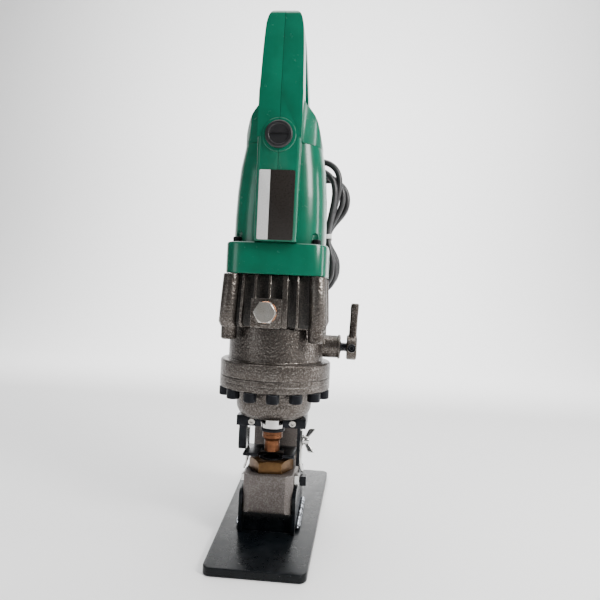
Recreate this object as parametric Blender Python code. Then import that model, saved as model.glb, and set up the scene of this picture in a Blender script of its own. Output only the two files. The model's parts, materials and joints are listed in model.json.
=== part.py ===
"""Portable electric-hydraulic hole punch on a base plate.

The frame: X is the operator's right, -Y is the open front of the jaw, +Z is up. The origin lies on
the underside of the base plate, straight below the punch. Sizes below are millimetres; MM turns
them into metres where an object is made.
"""

import math

import bmesh
import bpy
from mathutils import Matrix, Vector

MM = 0.001
GAP = 0.3                        # between pieces that touch

# Base and stand
PLATE_THICK = 8.0
PLATE_FRONT, PLATE_BACK = -98.0, 192.0
PLATE_FRONT_WIDTH, PLATE_BACK_WIDTH = 93.0, 114.0
CHEEK_THICK = 3.6
CHEEK_TOP = 51.0
STAND_FRONT, STAND_REAR = -22.0, 88.0
SLUG_HOLE = 10.5                 # radius of the way down from the die

# C-shaped jaw frame
JAW_HALF = 25.0
JAW_FRONT, JAW_BACK = -26.0, 95.0
JAW_BOTTOM, JAW_TOP = 29.0, 68.0
THROAT_BACK = 40.0
ARM_UNDER = 124.5
RING_RADIUS = 57.0
RING_BOTTOM, RING_TOP = 155.0, 167.0

# Ram and tooling
ROD_RADIUS = 12.0
BORE_RADIUS = 25.2
PISTON_BOTTOM, PISTON_TOP = 188.0, 203.0
PUNCH_RADIUS = 8.0
PUNCH_TIP = 87.0
DIE_TOP = 81.0
SPRING_FLOOR = 136.5

# Hydraulic body
FLANGE_TOP = 183.0
BODY_RADIUS = 49.0
BODY_TOP = 217.0
CASING_TOP = 269.0
VALVE_HEIGHT = 199.0
POST_PLACE, POST_RADIUS = 42.5, 8.3
BOLT_COUNT = 14
BOLT_CIRCLE = 51.0
BOLT_OFFSET = math.radians(5)

# Drive
GEAR_MODULE = 1.0
PINION_TEETH, WHEEL_TEETH = 10, 30
SHAFT_DISTANCE = GEAR_MODULE * (PINION_TEETH + WHEEL_TEETH) / 2 + 0.4
ECCENTRIC = 1.5
PUMP_HEIGHT = 236.0

# Motor case and handle
COLLAR_HALF = 50.5
COLLAR_TOP = 300.0
CASE_TOP = 398.0
CASE_TOP_HALF = 39.5
SPINE_FRONT = -58.0
SPINE_HALF = 20.5
HANDLE_TOP = 522.0
WALL = 3.0

# Release lever
HUB_X = 76.0

# Stripper
WING_HEIGHT = 97.0
STRIPPER_Y = 10.0
STRIPPER_FOOT, STRIPPER_TOP = 64.6, 107.5

# Cord
CORD_DIAMETER = 7.0

# Colours: red, green, blue, roughness, metallic
FINISHES = {
    "green_plastic": (0.01, 0.17, 0.09, 0.3, 0.0),
    "black_plastic": (0.015, 0.015, 0.017, 0.45, 0.0),
    "black_paint": (0.02, 0.023, 0.027, 0.25, 0.3),
    "cast_steel": (0.25, 0.23, 0.21, 0.45, 0.8),
    "grey_steel": (0.33, 0.3, 0.28, 0.6, 0.6),
    "black_oxide": (0.02, 0.022, 0.025, 0.35, 0.8),
    "chrome": (0.75, 0.75, 0.74, 0.15, 1.0),
    "zinc": (0.6, 0.6, 0.58, 0.35, 1.0),
    "bronze": (0.42, 0.27, 0.12, 0.35, 1.0),
    "copper_steel": (0.4, 0.2, 0.1, 0.35, 1.0),
    "copper": (0.7, 0.3, 0.15, 0.3, 1.0),
    "rubber": (0.02, 0.02, 0.02, 0.8, 0.0),
    "red_rubber": (0.3, 0.03, 0.02, 0.7, 0.0),
    "carbon": (0.03, 0.03, 0.03, 0.6, 0.2),
    "label": (0.05, 0.05, 0.05, 0.4, 0.0),
    "tie": (0.8, 0.8, 0.78, 0.5, 0.0),
}


def material(finish):
    """The Principled material of a finish, made once."""
    found = bpy.data.materials.get(finish)
    if found:
        return found
    red, green, blue, roughness, metallic = FINISHES[finish]
    made = bpy.data.materials.new(finish)
    made.use_nodes = True
    shader = made.node_tree.nodes["Principled BSDF"]
    shader.inputs["Base Color"].default_value = (red, green, blue, 1)
    shader.inputs["Roughness"].default_value = roughness
    shader.inputs["Metallic"].default_value = metallic
    return made


# ---------------------------------------------------------------- outlines

def arc(centre, radius, start, stop, steps):
    """Points on an arc in a plane, from one angle in degrees to another."""
    points = []
    for step in range(steps + 1):
        angle = math.radians(start + (stop - start) * step / steps)
        points.append((centre[0] + radius * math.cos(angle), centre[1] + radius * math.sin(angle)))
    return points


def rounded(points, radius, steps=4):
    """An outline with its corners rounded; radius is one number, or one for each corner."""
    radii = radius if isinstance(radius, (list, tuple)) else [radius] * len(points)
    outline = []
    for index, corner in enumerate(points):
        here = Vector(corner)
        before = Vector(points[index - 1]) - here
        after = Vector(points[(index + 1) % len(points)]) - here
        if radii[index] <= 0:
            outline.append(tuple(here))
            continue
        half = before.angle(after) / 2
        reach = radii[index] / math.tan(half)
        first = here + before.normalized() * reach
        last = here + after.normalized() * reach
        inward = (before.normalized() + after.normalized()).normalized()
        middle = here + inward * radii[index] / math.sin(half)
        sweep = (first - middle).angle_signed(last - middle)
        for step in range(steps + 1):
            turn = Matrix.Rotation(-sweep * step / steps, 2)
            outline.append(tuple(middle + turn @ (first - middle)))
    return outline


def rectangle(low, high, radius=0.0, steps=4):
    """A rectangle between two corners, rounded if a radius is given."""
    corners = [(low[0], low[1]), (high[0], low[1]), (high[0], high[1]), (low[0], high[1])]
    return rounded(corners, radius, steps) if radius else corners


def polygon(sides, radius, turn=0.0, centre=(0.0, 0.0)):
    """A regular polygon's corners; turn is in degrees."""
    return arc(centre, radius, turn, turn + 360 - 360 / sides, sides - 1)


# ---------------------------------------------------------------- solids

PLANES = {
    "X": lambda a, b, c: (c, a, b),
    "Y": lambda a, b, c: (a, c, b),
    "Z": lambda a, b, c: (a, b, c),
}


def skin(mesh, rings, closed=False):
    """Joins rings of points with quads, and caps the two ends unless the rings close."""
    made = []
    for ring in rings:
        made.append([mesh.verts.new(point) for point in ring])
    pairs = list(zip(made, made[1:]))
    if closed:
        pairs.append((made[-1], made[0]))
    for lower, upper in pairs:
        for index in range(len(lower)):
            after = (index + 1) % len(lower)
            mesh.faces.new((lower[index], lower[after], upper[after], upper[index]))
    if not closed:
        mesh.faces.new(made[0])
        mesh.faces.new(made[-1])


def prism(mesh, outline, low, high, axis="Z"):
    """An outline pushed along an axis; its two numbers are the other two axes, in order."""
    place = PLANES[axis]
    skin(mesh, [[place(a, b, c) for a, b in outline] for c in (low, high)])


def block(mesh, low, high):
    """A plain box between two corners."""
    prism(mesh, rectangle(low[:2], high[:2]), low[2], high[2])


def turned(mesh, profile, centre=(0.0, 0.0), axis="Z", sides=18):
    """A profile of (radius, height) points turned about an axis.

    centre is the axis's place in the other two directions. A profile that starts and ends on the
    axis makes a solid; any other closes on itself and makes a ring.
    """
    place = PLANES[axis]
    solid = profile[0][0] == 0 and profile[-1][0] == 0
    rings = []
    for radius, height in (profile[1:-1] if solid else profile):
        rings.append([place(a, b, height) for a, b in arc(centre, radius, 0, 360 - 360 / sides, sides - 1)])
    skin(mesh, rings, closed=not solid)


def cylinder(mesh, radius, low, high, centre=(0.0, 0.0), axis="Z", sides=14):
    """A cylinder along an axis."""
    turned(mesh, [(0, low), (radius, low), (radius, high), (0, high)], centre, axis, sides)


def hoop(mesh, outer, inner, low, high):
    """A flat ring between two outlines of as many points."""
    loops = ((outer, low), (outer, high), (inner, high), (inner, low))
    skin(mesh, [[(x, y, z) for x, y in outline] for outline, z in loops], closed=True)


def tube_along(mesh, points, radius, sides=6):
    """A closed tube round a path of points."""
    path = [Vector(point) for point in points]
    along = (path[1] - path[0]).normalized()
    side = along.orthogonal().normalized()
    rings = []
    for index, point in enumerate(path):
        ahead = (path[min(index + 1, len(path) - 1)] - path[max(index - 1, 0)]).normalized()
        side = (along.rotation_difference(ahead) @ side).normalized()
        along = ahead
        up = along.cross(side)
        rings.append([point + side * a + up * b for a, b in polygon(sides, radius)])
    skin(mesh, rings)


# ---------------------------------------------------------------- objects

def build(name, shape, finish, origin=(0.0, 0.0, 0.0), smooth=30):
    """Makes an object from a function that fills a mesh in millimetres."""
    mesh = bmesh.new()
    shape(mesh)
    bmesh.ops.recalc_face_normals(mesh, faces=mesh.faces)
    bmesh.ops.translate(mesh, verts=mesh.verts, vec=-Vector(origin))
    bmesh.ops.scale(mesh, verts=mesh.verts, vec=(MM, MM, MM))
    data = bpy.data.meshes.new(name)
    mesh.to_mesh(data)
    mesh.free()
    data.shade_smooth()
    data.set_sharp_from_angle(angle=math.radians(smooth))
    made = bpy.data.objects.new(name, data)
    made.location = Vector(origin) * MM
    data.materials.append(material(finish))
    bpy.context.scene.collection.objects.link(made)
    return made


def combine(target, operation, shape):
    """Adds a Boolean whose tool is a hidden object."""
    tool = build(f"{target.name}_{operation.lower()}_tool", shape, "black_plastic")
    tool.hide_render = True
    tool.display_type = "WIRE"
    step = target.modifiers.new(operation.title(), "BOOLEAN")
    step.operation = operation
    step.object = tool
    step.solver = "EXACT"


def cut(target, shape):
    combine(target, "DIFFERENCE", shape)


def add(target, shape):
    combine(target, "UNION", shape)


def keep(target, shape):
    combine(target, "INTERSECT", shape)


def bevel(target, width, angle=40, segments=1):
    """Breaks the sharp edges of an object."""
    step = target.modifiers.new("Edges", "BEVEL")
    step.width = width * MM
    step.segments = segments
    step.limit_method = "ANGLE"
    step.angle_limit = math.radians(angle)
    step.use_clamp_overlap = True


# ---------------------------------------------------------------- base and jaw

def bolt_places():
    """Angle from the front of each flange screw that clears the spine of the jaw."""
    places = []
    for index in range(BOLT_COUNT):
        angle = BOLT_OFFSET + math.tau * index / BOLT_COUNT
        spot = (BOLT_CIRCLE * math.sin(angle), -BOLT_CIRCLE * math.cos(angle))
        if spot[1] < 0 or abs(spot[0]) > JAW_HALF + 8:
            places.append(spot)
    return places


def make_stand():
    plate = rounded([(-PLATE_FRONT_WIDTH / 2, PLATE_FRONT), (PLATE_FRONT_WIDTH / 2, PLATE_FRONT),
                     (PLATE_BACK_WIDTH / 2, PLATE_BACK), (-PLATE_BACK_WIDTH / 2, PLATE_BACK)], 8)
    base = build("base_plate", lambda m: prism(m, plate, 0, PLATE_THICK), "black_paint")
    bevel(base, 0.8)

    low = PLATE_THICK + GAP
    inner = JAW_HALF + GAP
    cheek = rounded([(STAND_FRONT, low), (STAND_REAR, low), (STAND_REAR, CHEEK_TOP),
                     (STAND_FRONT, CHEEK_TOP)], [0, 0, 12, 6])
    seat = JAW_BOTTOM - GAP
    web = [(-16, low), (-12, low), (-12, seat - 6), (STAND_REAR - 6, seat - 6),
           (STAND_REAR - 6, seat), (-16, seat)]

    def cheeks(mesh):
        for side in (-1, 1):
            prism(mesh, cheek, side * inner, side * (inner + CHEEK_THICK), "X")

    channel = build("stand_channel", cheeks, "black_paint")
    add(channel, lambda m: prism(m, web, -inner - 1, inner + 1, "X"))

    def beads(mesh):
        for side in (-1, 1):
            rings = []
            for step in range(12):
                radius = 2.9 + 0.35 * math.cos(step * math.pi)
                middle = (side * (inner + CHEEK_THICK + 1.6), low + 3.3)
                rings.append([(x, -10 + step * 8, z) for x, z in polygon(6, radius, 0, middle)])
            skin(mesh, rings)

    add(channel, beads)
    cut(channel, lambda m: cylinder(m, SLUG_HOLE + 1, seat - 10, seat + 5, sides=20))


def make_jaw():
    side = rounded([(JAW_FRONT, JAW_BOTTOM), (JAW_BACK, JAW_BOTTOM), (JAW_BACK, 116), (50, 161), (-5, 161),
                    (-5, ARM_UNDER + 1), (THROAT_BACK, ARM_UNDER + 1), (THROAT_BACK, JAW_TOP),
                    (JAW_FRONT, JAW_TOP)], [4, 9, 10, 0, 0, 0, 12, 7, 1.5], 3)
    plan = [(-JAW_HALF + 7, JAW_FRONT), (JAW_HALF - 7, JAW_FRONT), (JAW_HALF, JAW_FRONT + 6),
            (JAW_HALF, JAW_BACK - 5), (JAW_HALF - 5, JAW_BACK), (-JAW_HALF + 5, JAW_BACK),
            (-JAW_HALF, JAW_BACK - 5), (-JAW_HALF, JAW_FRONT + 6)]
    dome = [(0, ARM_UNDER), (30, ARM_UNDER), (34.5, 127), (37.5, 131.5), (39, 138), (39, RING_BOTTOM - 2),
            (41, RING_BOTTOM), (RING_RADIUS - 1.5, RING_BOTTOM), (RING_RADIUS, RING_BOTTOM + 1.5),
            (RING_RADIUS, RING_TOP), (0, RING_TOP)]
    rod_bore = [(0, 120), (16.3, 120), (16.3, 131.3), (ROD_RADIUS + 0.35, 131.3),
                (ROD_RADIUS + 0.35, SPRING_FLOOR), (22, SPRING_FLOOR), (22, 170), (0, 170)]
    die_bore = [(0, 20), (SLUG_HOLE, 20), (SLUG_HOLE, 61.7), (16.4, 61.7), (16.4, 72), (0, 72)]

    frame = build("c_frame", lambda m: prism(m, side, -JAW_HALF, JAW_HALF, "X"), "grey_steel")
    keep(frame, lambda m: prism(m, plan, 10, 180))
    add(frame, lambda m: turned(m, dome, sides=32))
    cut(frame, lambda m: turned(m, rod_bore, sides=20))
    cut(frame, lambda m: turned(m, die_bore, sides=20))

    def screw_holes(mesh):
        for spot in bolt_places():
            cylinder(mesh, 4.5, 150, 170, spot, sides=8)
        cylinder(mesh, 3.4, 19, 30, (0, 58), "X", 10)

    cut(frame, screw_holes)

    tie = [(49.5, 172), (52.5, 172), (52.5, 174), (49.5, 174)]
    flange_screws = build("flange_screws", lambda m: turned(m, tie, sides=22), "black_oxide")

    def screws(mesh):
        for spot in bolt_places():
            top = RING_BOTTOM - GAP
            profile = [(0, top - 9), (6.5, top - 9), (6.5, top), (3.9, top), (3.9, 178), (0, 178)]
            turned(mesh, profile, spot, sides=8)

    add(flange_screws, screws)

    for name, side_of_jaw, half, middle in (("left", -1, 4, 58), ("right", 1, 5.5, 58)):
        ends = sorted((side_of_jaw * (JAW_HALF + GAP), side_of_jaw * (JAW_HALF + 5.3)))
        outline = rectangle((-half, middle - half), (half, middle + half))
        side_block = build(f"jaw_side_block_{name}", lambda m: prism(m, outline, *ends, "X"), "chrome")
        if side_of_jaw > 0:
            cut(side_block, lambda m: cylinder(m, 3.4, 20, 40, (0, 58), "X", 10))

    bolt = build("jaw_side_bolt", lambda m: cylinder(m, 3, 19.5, 32, (0, 58), "X", 10), "black_oxide")
    add(bolt, lambda m: prism(m, rectangle((-4.8, 53.2), (4.8, 62.8)), 31, 37.5, "X"))
    bevel(bolt, 0.4)


def make_tooling():
    die = [(PUNCH_RADIUS + 0.5, 62), (16.1, 62), (16.1, 67.7), (13, 67.7), (13, DIE_TOP - 0.8),
           (12.2, DIE_TOP), (PUNCH_RADIUS + 0.5, DIE_TOP)]
    build("die", lambda m: turned(m, die, sides=20), "black_oxide")

    nut = build("die_nut", lambda m: prism(m, polygon(6, 23.1, 64), 68.3, 80), "bronze")
    crown = [(0, 60), (23.3, 60), (23.3, 77.5), (20.6, 80.3), (0, 80.3)]
    keep(nut, lambda m: turned(m, crown, sides=20))
    cut(nut, lambda m: cylinder(m, 13.4, 60, 90, sides=20))

    punch = [(0, PUNCH_TIP), (7.6, PUNCH_TIP), (8, PUNCH_TIP + 0.4), (8, 99), (10.5, 101.5), (10.5, 107.7),
             (6, 107.7), (6, 118), (0, 118)]
    build("punch", lambda m: turned(m, punch, sides=20), "copper_steel")
    ring = [(6.4, 108), (12.4, 108), (12.4, 111), (6.4, 111)]
    build("punch_nut", lambda m: turned(m, ring, sides=20), "black_oxide")
    ram = [(0, 118.4), (6.3, 118.4), (6.3, 111.3), (ROD_RADIUS, 111.3), (ROD_RADIUS, PISTON_BOTTOM),
           (24.8, PISTON_BOTTOM), (24.8, 192.5), (22, 192.5), (22, 198.5), (24.8, 198.5), (24.8, PISTON_TOP),
           (0, PISTON_TOP)]
    build("ram", lambda m: turned(m, ram, sides=20), "chrome")
    seal = [(22.3, 192.8), (24.95, 192.8), (24.95, 198.2), (22.3, 198.2)]
    build("piston_seal", lambda m: turned(m, seal, sides=20), "rubber")
    rod_seal = [(ROD_RADIUS + 0.35, 125), (16, 125), (16, 131), (ROD_RADIUS + 0.35, 131)]
    build("rod_seal", lambda m: turned(m, rod_seal, sides=20), "rubber")
    wire = 1.7
    low, high = SPRING_FLOOR + GAP + wire, PISTON_BOTTOM - GAP - wire
    coil = helix(17, low, high, 6, 10)
    build("return_spring", lambda m: tube_along(m, coil, wire, 5), "black_oxide", (0, 0, SPRING_FLOOR + GAP))


def helix(radius, low, high, turns, steps, centre=(0.0, 0.0)):
    """Points of a coil about Z."""
    points = []
    count = turns * steps
    for index in range(count + 1):
        angle = math.tau * index / steps
        height = low + (high - low) * index / count
        points.append((centre[0] + radius * math.cos(angle), centre[1] + radius * math.sin(angle), height))
    return points


# ---------------------------------------------------------------- hydraulic body

def finned_outline(scale):
    """Plan of the pump casing: corner posts with thin cooling fins between them."""
    root, crest, half_fin = 43.5, 49.0, 1.3
    fins = (-29.5, -17.5, -3.6, 11.5, 23.5)
    outline = []
    for quarter in range(4):
        turn = Matrix.Rotation(math.radians(90 * quarter), 2)
        run = [(-34.5, -root)]
        for fin in fins:
            width = 2.6 if fin == 11.5 else half_fin
            run += [(fin - width - 0.4, -root), (fin - width, -crest)]
            run += [(fin + width, -crest), (fin + width + 0.4, -root)]
        run += [(34.5, -root)]
        run += arc((POST_PLACE, -POST_PLACE), POST_RADIUS, -170, 80, 5)
        outline += [tuple(turn @ Vector(point) * scale) for point in run]
    return outline


def make_hydraulics():
    flange = RING_TOP + GAP
    body = [(0, 205.5), (BORE_RADIUS, 205.5), (BORE_RADIUS, flange), (RING_RADIUS, flange),
            (RING_RADIUS, FLANGE_TOP - 1.5), (RING_RADIUS - 1.5, FLANGE_TOP), (BODY_RADIUS, FLANGE_TOP),
            (BODY_RADIUS, BODY_TOP), (0, BODY_TOP)]
    cylinder_body = build("cylinder_body", lambda m: turned(m, body, sides=32), "cast_steel")
    add(cylinder_body, lambda m: cylinder(m, 11.5, 40, 66.5, (0, VALVE_HEIGHT), "X"))

    def holes(mesh):
        for spot in bolt_places():
            cylinder(mesh, 4.5, 160, 179, spot, sides=8)
        cylinder(mesh, 5.1, 44, 72, (0, VALVE_HEIGHT), "X", 16)

    cut(cylinder_body, holes)
    groove = [(49.1, 171.6), (52.9, 171.6), (52.9, 174.4), (49.1, 174.4)]
    cut(cylinder_body, lambda m: turned(m, groove, sides=22))

    low = BODY_TOP + GAP

    def casing(mesh):
        rings = []
        for z, scale in ((low, 1.0), (222, 1.035), (CASING_TOP - GAP, 0.985)):
            rings.append([(x, y, z) for x, y in finned_outline(scale)])
        skin(mesh, rings)

    def feet(mesh):
        for x in (-POST_PLACE, POST_PLACE):
            for y in (-POST_PLACE, POST_PLACE):
                cylinder(mesh, POST_RADIUS - 0.7, 205, 225, (x, y), sides=12)

    pump = build("pump_casing", casing, "cast_steel")
    add(pump, feet)
    add(pump, lambda m: block(m, (-19.5, -58, 218), (9.5, -40, 246)))
    cut(pump, lambda m: cylinder(m, 38, 222, 290, sides=22))

    def bores(mesh):
        for side in (-1, 1):
            cylinder(mesh, 4.5, side * 24, side * 41, (SHAFT_DISTANCE, PUMP_HEIGHT), "X", 12)
        cylinder(mesh, 5.4, 219, 230, (0, SHAFT_DISTANCE), sides=16)
        cylinder(mesh, 6.2, -70, -35, (-5, 233), "Y", 16)

    cut(pump, bores)

    washer = [(6.3, -59.4), (10, -59.4), (10, -58.3), (6.3, -58.3)]
    build("plug_washer", lambda m: turned(m, washer, (-5, 233), "Y", 16), "copper")

    def plug(mesh):
        cylinder(mesh, 5.8, -60.5, -45, (-5, 233), "Y", 16)

    oil_plug = build("oil_plug", plug, "zinc")
    add(oil_plug, lambda m: prism(m, polygon(6, 11, 0, (-5, 233)), -67, -59.8, "Y"))
    keep(oil_plug, lambda m: turned(m, [(0, -67.05), (9.3, -67.05), (11.2, -65.9), (11.2, -40), (0, -40)],
                                    (-5, 233), "Y", 18))

    def bag(mesh):
        rings = []
        for z, grow in ((225, 0.7), (228, 1), (255, 1), (258, 0.7)):
            outline = rectangle((-15 * grow, -21 - 10 * grow), (15 * grow, -21 + 10 * grow), 5)
            rings.append([(x, y, z) for x, y in outline])
        skin(mesh, rings)

    build("oil_bladder", bag, "red_rubber")


def make_release():
    """The release valve: its stem turns with the lever about X."""
    axis = (HUB_X, 0, VALVE_HEIGHT)
    stem = [(0, 46), (3, 46), (4.6, 50), (4.6, 80), (0, 80)]
    build("release_valve_stem", lambda m: turned(m, stem, (0, VALVE_HEIGHT), "X", 16), "black_oxide", axis)

    hub = [(0, 72.8), (12, 72.8), (12.8, 73.8), (12.8, 82.2), (12, 83.2), (0, 83.2)]
    lever = build("release_lever", lambda m: turned(m, hub, (0, VALVE_HEIGHT), "X", 18), "cast_steel", axis)

    def arm(mesh):
        rings = []
        for z, half_y, low_x, high_x in ((203, 9, 74.2, 82.4), (216, 6.2, 74.8, 82.8), (233, 5.4, 75.4, 83.2),
                                         (240, 6.2, 75.2, 83.8), (244.5, 5.6, 76, 83.8)):
            rings.append([(x, y, z) for x, y in rectangle((low_x, -half_y), (high_x, half_y), 2, 2)])
        skin(mesh, rings)

    add(lever, arm)
    cut(lever, lambda m: cylinder(m, 4.3, -20, 0, (78, VALVE_HEIGHT), "Y", 12))
    cut(lever, lambda m: cylinder(m, 4.9, 70, 81, (0, VALVE_HEIGHT), "X", 16))
    screw = [(0, -9.5), (2, -9.5), (2, -12.6), (4, -12.6), (4, -4.9), (0, -4.9)]
    build("lever_screw", lambda m: turned(m, screw, (78, VALVE_HEIGHT), "Y", 12), "black_oxide", axis)


# ---------------------------------------------------------------- drive

def gear_outline(teeth, turn):
    """A gear's plan; turn, in degrees, is where the middle of its first tooth points."""
    pitch = GEAR_MODULE * teeth / 2
    root, tip = pitch - 1.2 * GEAR_MODULE, pitch + 0.9 * GEAR_MODULE
    step = 360 / teeth
    outline = []
    for tooth in range(teeth):
        middle = turn + tooth * step
        for radius, share in ((root, -0.31), (tip, -0.1), (tip, 0.1), (root, 0.31)):
            outline += arc((0, 0), radius, middle + share * step, middle + share * step, 1)[:1]
    return outline


def make_drive():
    wheel_axis = (0, SHAFT_DISTANCE, PUMP_HEIGHT)
    shaft = build("armature_shaft", lambda m: cylinder(m, 4, 258, 421, sides=16), "zinc")
    add(shaft, lambda m: prism(m, gear_outline(PINION_TEETH, 90), 262, 275))

    wheel_turn = -90 + 180 / WHEEL_TEETH

    def wheel(mesh):
        outline = [(x, y + SHAFT_DISTANCE) for x, y in gear_outline(WHEEL_TEETH, wheel_turn)]
        prism(mesh, outline, 263, 272)

    gear = build("driven_gear", wheel, "black_oxide", wheel_axis)
    cut(gear, lambda m: cylinder(m, 5.3, 260, 275, (0, SHAFT_DISTANCE), sides=16))
    eccentric = build("eccentric_shaft", lambda m: cylinder(m, 5, 220, 274, (0, SHAFT_DISTANCE), sides=16),
                      "zinc", wheel_axis)
    journal = (0, SHAFT_DISTANCE + ECCENTRIC)
    add(eccentric, lambda m: cylinder(m, 8, 231, 241, journal, sides=16))
    race = [(8.3, 231.5), (13, 231.5), (13, 240.5), (8.3, 240.5)]
    build("eccentric_bearing", lambda m: turned(m, race, journal, sides=16), "chrome", wheel_axis)

    for side, name in ((-1, "pump_plunger_left"), (1, "pump_plunger_right")):
        ends = sorted((side * 15.2, side * 36.5))
        build(name, lambda m: cylinder(m, 4, ends[0], ends[1], wheel_axis[1:], "X", 16), "chrome",
              (side * 15.2, SHAFT_DISTANCE, PUMP_HEIGHT))


# ---------------------------------------------------------------- stripper

def make_stripper():
    """A black yoke under the dome, and a chrome frame whose fork strips the work off the punch."""
    top = ARM_UNDER - GAP
    depth = (STRIPPER_Y - 6, STRIPPER_Y + 6)
    left, right = -36.5, JAW_HALF + 0.6
    yoke = build("stripper_yoke", lambda m: block(m, (left, -12, 114), (35, 22, top)), "black_oxide")
    cut(yoke, lambda m: cylinder(m, 16.6, 110, 130, sides=16))
    left_arm = rounded([(depth[0], 84), (depth[1], 84), (depth[1], 116), (depth[0], 116)], [5, 5, 0, 0])
    add(yoke, lambda m: prism(m, left_arm, left, -28.9, "X"))
    add(yoke, lambda m: prism(m, rectangle((depth[0], 70), (depth[1], 116)), right, right + 3.2, "X"))

    def tapped(mesh):
        cylinder(mesh, 3.1, right - 2, right + 6, (STRIPPER_Y, WING_HEIGHT), "X", 16)
        for x in (-20.5, 21.5):
            cylinder(mesh, 2.0, -14, -3, (x, 119), "Y", 10)

    cut(yoke, tapped)

    screw = [(0, -14.8), (1.5, -14.8), (1.5, -15.6), (3.4, -15.6), (3.4, -12.3), (1.7, -12.3),
             (1.7, -4), (0, -4)]
    for name, x in (("left", -20.5), ("right", 21.5)):
        build(f"yoke_screw_{name}", lambda m: turned(m, screw, (x, 119), "Y", 12), "zinc")

    thick = 1.8
    inner_left, inner_right = -JAW_HALF - 1.2, right + 3.5

    def strips(mesh):
        for x, side in ((inner_left - thick, -1), (inner_right, 1)):
            flare = side * 2.4
            path = ((STRIPPER_FOOT, flare), (68, flare * 0.8), (72, 0), (STRIPPER_TOP, 0))
            rings = []
            for z, shift in path:
                corners = rectangle((x + shift, depth[0] + 0.5), (x + shift + thick, depth[1] - 0.5))
                rings.append([(a, b, z) for a, b in corners])
            skin(mesh, rings)

    frame = build("stripper_frame", strips, "chrome", (0, STRIPPER_Y, WING_HEIGHT))
    slot_half = 12.9
    fork = [(inner_left - 0.5, -13), (-slot_half, -13), (-slot_half, 2)]
    fork += arc((0, 4), slot_half, 180, 0, 10)
    side, behind = JAW_HALF - 0.3, depth[1]
    fork += [(slot_half, -13), (side, -13), (side, behind + 1.2), (inner_right + 0.6, behind + 1.2),
             (inner_right + 0.6, behind + 5), (JAW_HALF - 6, behind + 8), (inner_left - 0.5, behind + 8)]
    add(frame, lambda m: prism(m, fork, 83, 86))
    back = rectangle((depth[1] - 1.5, 74), (depth[1] + 4, STRIPPER_TOP - 3))
    add(frame, lambda m: prism(m, back, inner_right + 0.01, inner_right + thick - 0.01, "X"))

    def slot(mesh):
        outline = arc((STRIPPER_Y, 89.5), 3.0, 180, 360, 5) + arc((STRIPPER_Y, WING_HEIGHT), 3.0, 0, 180, 5)
        prism(mesh, outline, inner_right - 2, inner_right + 5, "X")

    cut(frame, slot)

    start = inner_right + thick + GAP
    centre = (STRIPPER_Y, WING_HEIGHT)
    screw = [(0, right - 0.6), (2.4, right - 0.6), (2.4, start), (6, start), (6, start + 1),
             (4.2, start + 1.6), (4.2, start + 6.5), (3.2, start + 7.2), (0, start + 7.2)]
    wing = build("wing_screw", lambda m: turned(m, screw, centre, "X", 16), "chrome", (0, *centre))

    def wings(mesh):
        for side in (-1, 1):
            rings = []
            for reach, low, high, half in ((2.5, 2.0, 6.2, 1.9), (8, 4.5, 10.5, 1.4), (12.2, 6.5, 13, 1.1)):
                ring = []
                for x, y in rectangle((start + low, -half), (start + high, half), 0.8, 2):
                    spot = Matrix.Rotation(math.radians(-20), 3, "X") @ Vector((x, y, side * reach))
                    ring.append(spot + Vector((0, *centre)))
                rings.append(ring)
            skin(mesh, rings)

    add(wing, wings)


# ---------------------------------------------------------------- motor case and handle

def squircle(half_x, half_y, power, steps=28, centre=(0.0, 0.0)):
    """A rounded square whose power sets how square it is."""
    outline = []
    for step in range(steps):
        angle = math.tau * (step + 0.5) / steps
        across, up = math.cos(angle), math.sin(angle)
        reach = (abs(across) ** power + abs(up) ** power) ** (-1 / power)
        outline.append((centre[0] + half_x * reach * across, centre[1] + half_y * reach * up))
    return outline


CASE_RINGS = (
    # height, half width, squareness
    (CASING_TOP + GAP, COLLAR_HALF, 6.0),
    (COLLAR_TOP - 1.5, COLLAR_HALF, 6.0),
    (COLLAR_TOP, COLLAR_HALF - 1.5, 6.0),
    (COLLAR_TOP + 0.1, 46.4, 3.2),
    (325.0, 46.2, 3.2),
    (350.0, 45.4, 3.1),
    (375.0, 43.4, 3.0),
    (CASE_TOP, CASE_TOP_HALF, 3.0),
)


def case_skin(mesh, grow=0.0, above=0.0):
    """The outside of the motor case, or a slightly bigger copy of its upper part."""
    rings = []
    for z, half, power in CASE_RINGS:
        if z > above:
            rings.append([(x, y, z) for x, y in squircle(half + grow, half + grow, power)])
    if grow:
        last = [(x, y, z + 0.1) for x, y, z in rings[-1]]
        rings.append(last)
        rings[0] = [(x, y, z - 2) for x, y, z in rings[0]]
    skin(mesh, rings)


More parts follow.
